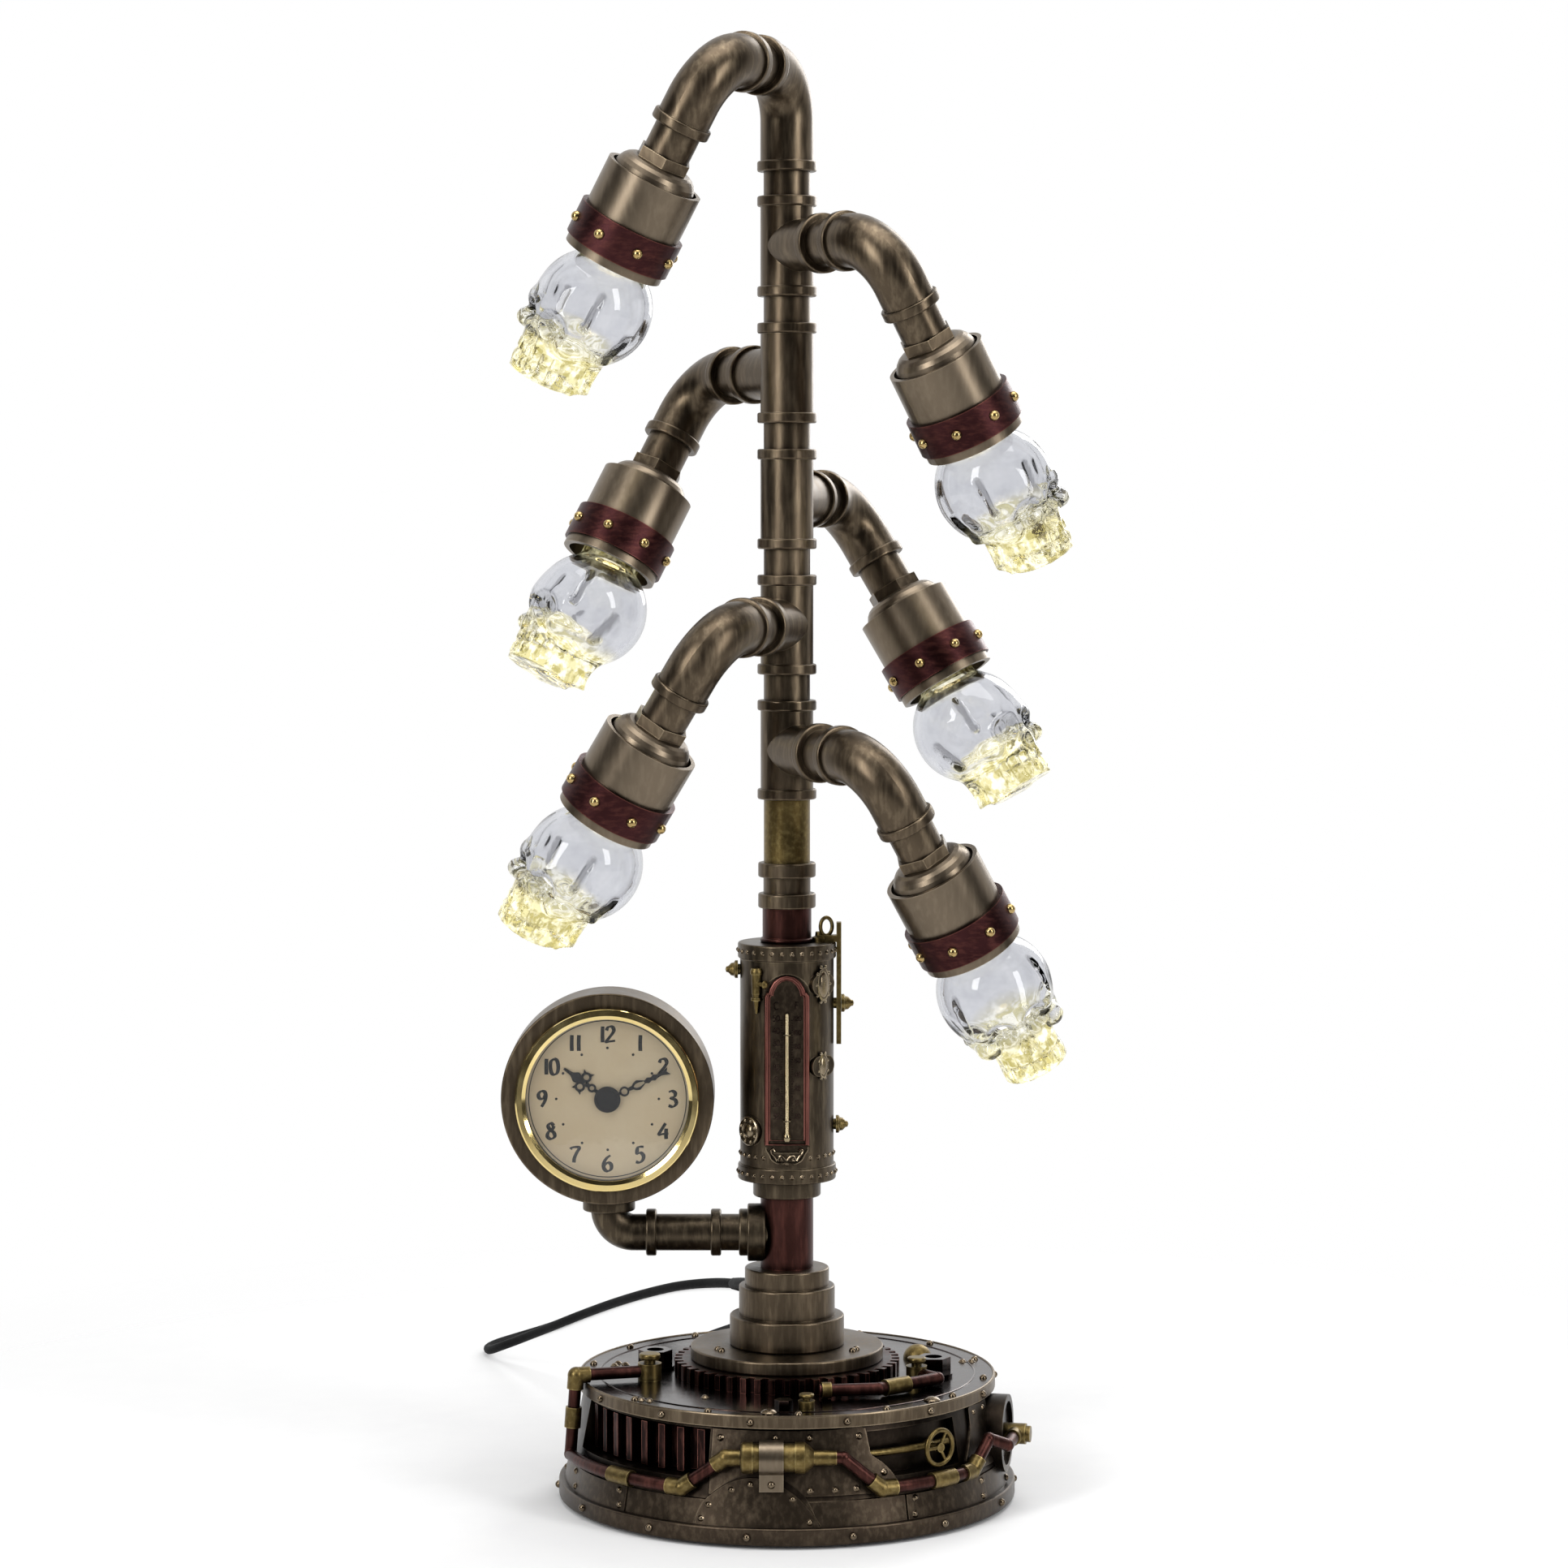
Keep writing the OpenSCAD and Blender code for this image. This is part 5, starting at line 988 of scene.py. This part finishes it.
port_at = outward(-50, HOUSE_R + BOSS_RISE, HOUSE_Z + 23)
medals.lathe([(6.4, -0.6), (6.4, 0.4), (5.9, 0.8), (4.0, 0.8), (3.6, 0.3), (3.3, 0.3), (2.9, 0.9), (1.6, 1.5),
              (0, 1.7)], port_at @ moved(0, 0, -0.2), 32)
for k in range(8):
    a = 2 * math.pi * (k + 0.5) / 8
    medals.rivet(0.7, port_at @ moved(4.95 * math.cos(a), 4.95 * math.sin(a), 0.6), 10)
piece("housing_medals", medals, "lamp", pale_bronze)

spike = Shape()
spike_at = outward(-38, HOUSE_R + 1.0, HOUSE_Z)
spike_up = spike_at @ turned(-90, "Y")
KNOB_UP = 88.5
KNOB_OUT = 5.4
for low, high, r_low, r_high in ((75.5, 84.0, 0.6, 1.9), (84.0, 93.0, 2.1, 2.3)):
    spike.lathe([(0, low), (r_low, low), (r_high, high), (0, high)], spike_up, 12)
spike.lathe([(0, 92.6), (2.7, 92.8), (2.9, 94.0), (2.2, 95.4), (0, 95.9)], spike_up, 14)
spike.lathe([(0, 81.0), (2.4, 81.2), (2.4, 82.4), (0, 82.6)], spike_up, 12)
knob = [spike_at @ Vector((-KNOB_UP, 0, 0.5)), spike_at @ Vector((-KNOB_UP, KNOB_OUT, 0.9))]
spike.tube(knob, 1.1, sides=10)
spike.rivet(1.7, spike_at @ moved(-KNOB_UP, KNOB_OUT, 0.9) @ turned(-90, "X"), 12)
piece("housing_spike", spike, "lamp", brass)

ring_shape = Shape()
RING_AT = (17.4, -1.0, HOUSE_TOP + 6.8)
ring_path = []
for a in np.linspace(0, 2 * math.pi, 24, endpoint=False):
    ring_path.append(Vector(RING_AT) + Vector((2.6 * math.cos(a), 1.2 * math.cos(a), 4.0 * math.sin(a))))
ring_shape.tube(ring_path, 0.85, sides=10, closed=True)
RING_FOOT = [(0, -0.1), (3.4, 0.0), (3.4, 2.0), (2.0, 2.6), (1.8, 4.4), (0, 4.6)]
ring_shape.lathe(RING_FOOT, moved(14.4, 0, HOUSE_TOP), 14)
piece("housing_ring", ring_shape, "lamp", brass)

CONE = [(0, 0), (4.0, 0), (4.0, 1.2), (3.0, 1.8), (2.8, 3.0), (1.5, 4.2), (1.2, 5.2), (0, 5.6)]
cones = Shape()
for side, z, lift in ((-1, 93, 0.0), (1, 78, 2.4), (1, 24, 0.0)):
    spot = moved(side * (HOUSE_R + 1.0), 0, HOUSE_Z + z) @ turned(side * 90, "Y")
    cones.lathe(CONE, spot @ moved(0, 0, lift), 16)
piece("housing_cones", cones, "lamp", brass)


# Base plates and rivets

SKIRT_LOW, SKIRT_HIGH = 9.0, 49.8
SKIRT_R_LOW, SKIRT_R_HIGH = 98.0, 90.0
SKIRT_SLOPE = math.degrees(math.atan2(SKIRT_R_LOW - SKIRT_R_HIGH, SKIRT_HIGH - SKIRT_LOW))


def skirt_r(z):
    return SKIRT_R_LOW + (z - SKIRT_LOW) / (SKIRT_HIGH - SKIRT_LOW) * (SKIRT_R_HIGH - SKIRT_R_LOW)


def on_skirt(angle, z, rise=0.0):
    """Local +Z stands out from the sloping skirt."""
    return outward(angle, skirt_r(z), z) @ turned(-SKIRT_SLOPE, "Y") @ moved(0, 0, rise)


def skirt_plate(shape, first, last, low, high, rise, steps=48):
    """A thin plate laid on the skirt; low and high are its edges' heights by angle."""
    edge = 0.35
    sunk = -0.3
    points = []
    for k in range(steps + 1):
        a = first + (last - first) * k / steps
        bottom, top = low(a), max(high(a), low(a) + 3 * edge)
        lean = math.degrees(edge / skirt_r(bottom))
        inner = min(max(a, first + lean), last - lean)
        for angle, z, up in ((a, bottom, sunk), (a, bottom, rise - edge), (inner, bottom + edge, rise),
                             (inner, top - edge, rise), (a, top, rise - edge), (a, top, sunk)):
            points.append(place(skirt_r(z) + up, angle, z))
    faces = [list(range(6)), [6 * steps + s for s in range(6)][::-1]]
    for k in range(steps):
        for s in range(5):
            here, there = 6 * k + s, 6 * (k + 1) + s
            faces.append([here, here + 1, there + 1, there][::-1])
    shape.add(points, faces)


def level(z):
    return lambda a: z


def edge_line(points):
    """A plate edge's height by angle, through listed points."""
    line = smooth_line([(a, z, 0) for a, z in points], 8)
    return lambda a: float(np.interp(a, [p.x for p in line], [p.y for p in line]))


ARCH_EDGE = [(-23.6, 9.5), (-23.0, 13.5), (-20.5, 20.5), (-14.5, 27.5), (-8.0, 29.6), (-1.5, 26.2),
             (4.5, 18.8), (8.2, 9.5)]
PANEL_EDGE = [(-20.4, 49.0), (10.0, 49.0), (21.6, 49.0), (22.2, 39.0), (25.4, 34.5), (27.9, 30.4),
              (29.8, 26.0)]
WING_EDGE = [(54.2, 27.5), (56.8, 34.0), (59.0, 41.5), (59.6, 49.0), (66.0, 49.0), (72.0, 49.0)]
PLATE_LOW = 8.6
LOW_TOP = 19.6
plates = Shape()
skirt_plate(plates, -23.6, 8.2, level(PLATE_LOW), edge_line(ARCH_EDGE), 1.1)
skirt_plate(plates, -20.4, 29.8, level(21.4), edge_line(PANEL_EDGE), 0.7)
skirt_plate(plates, 54.2, 72.0, level(22.0), edge_line(WING_EDGE), 1.2)
for first, last, rise in ((-100, -45, 0.9), (-45, -20, 0.5), (5, 31.5, 0.5), (31.5, 62, 0.9), (62, 98, 0.5)):
    skirt_plate(plates, first, last, level(PLATE_LOW), level(LOW_TOP), rise)
piece("skirt_plates", plates, "lamp", base_bronze, sharp=25)

plate_rivets = Shape()
SKIRT_RIVETS = [
    (-47.9, 17.0), (-47.2, 11.0), (-70.3, 11.0), (-72.0, 17.0), (34.3, 17.4), (33.7, 10.6), (60.0, 10.6),
    (60.4, 17.0), (-9.4, 26.4), (-14.3, 23.8), (-20.1, 17.0), (-21.8, 11.2), (1.4, 20.6), (5.6, 11.0),
    (5.9, 24.0), (12.4, 23.9), (18.0, 24.0), (-18.0, 45.0), (-3.1, 45.6), (5.9, 45.6), (19.6, 45.4),
    (25.9, 29.6), (62.0, 46.0), (68.5, 46.0), (-92.0, 11.0), (-92.0, 17.0), (80.0, 11.0)]
for angle, z in SKIRT_RIVETS:
    plate_rivets.rivet(1.35, on_skirt(angle, z, 0.8))
plate_rivets.rivet(1.7, outward(-4.0, skirt_r(27.0) + 2.6, 27.0))
LID_SINGLES = [(-75.8, 15.8), (-72.4, 12.8), (-77.2, 10.6), (-62.8, -59.6), (-59.2, -61.4),
               (-35.4, -54.5), (79.0, 19.2), (83.0, 19.2)]
for x, y in LID_SINGLES:
    plate_rivets.rivet(1.6, moved(x, y, LID_TOP))
FLAT_BOLT = [(3.6, -0.2), (3.6, 0.5), (3.2, 0.9), (2.3, 1.5), (1.2, 1.9), (0, 2.0)]
for x, y in ((-7.7, -84.6), (62.5, -60.4)):
    plate_rivets.lathe(FLAT_BOLT, moved(x, y, LID_TOP), 20)
piece("plate_rivets", plate_rivets, "lamp", head_bronze)

LID_LINE_R = 83.4
LID_RIM_R = 91.9
LINE_TOP = LID_TOP - 0.1


def lid_ring(r):
    return [place(r, a, LINE_TOP) for a in range(0, 360, 3)]


lid_lines = Shape()
lid_lines.tube(lid_ring(LID_LINE_R), 0.5, sides=8, closed=True)
piece("lid_lines", lid_lines, "lamp", dark_bronze)

lid_rim = Shape()
lid_rim.tube(lid_ring(LID_RIM_R), 0.6, sides=8, closed=True)
lid_rim.washer(92.62, 91.6, LID_TOP - 5.1, LINE_TOP, sides=120)
piece("lid_rim", lid_rim, "lamp", bronze)


# Light, floor and backdrop

def area_light(name, spot, target, size, watts, tone=(1, 1, 1)):
    data = bpy.data.lights.new(name, "AREA")
    data.shape = "RECTANGLE"
    data.size, data.size_y = size
    data.energy = watts
    data.color = tone
    made = bpy.data.objects.new(name, data)
    made.location = spot
    made.rotation_euler = (Vector(target) - Vector(spot)).to_track_quat("-Z", "Y").to_euler()
    made.visible_transmission = False
    scene.collection.objects.link(made)


area_light("key", (-1.3, -1.5, 1.1), (0, 0, 0.35), (0.5, 1.4), 26)
area_light("fill", (1.4, -1.2, 0.9), (0, 0, 0.3), (0.4, 1.3), 17)
area_light("top", (0.1, -0.2, 1.9), (0, 0, 0.3), (1.2, 1.0), 15)
area_light("rim", (0.7, 1.3, 1.0), (0, 0, 0.35), (0.5, 1.2), 10)


DIFFUSE_LEVEL = 0.45


def make_world():
    """A white backdrop to the camera, to mirrors and level through glass, and a plainer light elsewhere."""
    world = bpy.data.worlds.new("studio")
    n = Tree(world)
    n.tree.nodes.clear()
    ray = n.node("ShaderNodeLightPath").outputs
    way = n.node("ShaderNodeTexCoord").outputs["Generated"]
    steep = n.maths("ABSOLUTE", n.node("ShaderNodeSeparateXYZ", {0: way}).outputs["Z"])
    through = n.maths("MULTIPLY", ray["Is Transmission Ray"], n.ramp(steep, 0.22, 0.7, 1.0, 0.0))
    mirrored = n.maths("MAXIMUM", ray["Is Glossy Ray"], through)
    seen = n.maths("MAXIMUM", ray["Is Camera Ray"], mirrored)
    strength = n.ramp(seen, 0.0, 1.0, DIFFUSE_LEVEL, 1.0)
    light = n.node("ShaderNodeBackground", {"Color": (1, 1, 1, 1), "Strength": strength})
    n.node("ShaderNodeOutputWorld", {"Surface": light.outputs[0]})
    scene.world = world


make_world()


def make_floor():
    """A pale floor that fades into the backdrop away from the lamp."""
    n = Nodes("floor")
    far = n.node("ShaderNodeVectorMath", {0: n.at}, operation="LENGTH").outputs["Value"]
    paper = n.noise(40, 3)
    tone = n.mix(n.ramp(paper, 0.3, 0.7), (0.83, 0.83, 0.835), (0.85, 0.85, 0.85))
    clear = n.node("ShaderNodeBsdfTransparent").outputs[0]
    n.finish(Base_Color=tone, Roughness=0.7)
    blend = n.node("ShaderNodeMixShader", {0: n.ramp(far, 0.22, 0.62), 1: n.shader.outputs[0], 2: clear})
    n.put(n.tree.nodes["Material Output"].inputs["Surface"], blend.outputs[0])
    mesh = bpy.data.meshes.new("floor")
    reach = 1.2
    mesh.from_pydata([(-reach, -reach, 0), (reach, -reach, 0), (reach, reach, 0), (-reach, reach, 0)], [],
                     [[0, 1, 2, 3]])
    mesh.materials.append(n.material)
    floor = bpy.data.objects.new("floor", mesh)
    scene.collection.objects.link(floor)


make_floor()


def make_dark_room():
    """A dark curved wall round the camera's side, which gives the metal its dark reflections."""
    n = Nodes("dark_wall")
    tone = n.mix(n.ramp(n.noise(3, 2), 0.3, 0.7), (0.020, 0.019, 0.018), (0.032, 0.030, 0.028))
    n.finish(Base_Color=tone, Roughness=0.9)
    reach, low, high, steps = 2.3, -0.2, 2.6, 40
    points = []
    for k in range(steps + 1):
        a = math.radians(-100 + 200 * k / steps)
        points += [(reach * math.sin(a), -reach * math.cos(a), z) for z in (low, high)]
    faces = [[2 * k, 2 * k + 2, 2 * k + 3, 2 * k + 1] for k in range(steps)]
    mesh = bpy.data.meshes.new("dark_wall")
    mesh.from_pydata(points, [], faces)
    mesh.materials.append(n.material)
    wall = bpy.data.objects.new("dark_wall", mesh)
    wall.visible_camera = False
    wall.visible_diffuse = False
    wall.visible_shadow = False
    wall.visible_transmission = False
    scene.collection.objects.link(wall)


make_dark_room()

bpy.context.view_layer.update()
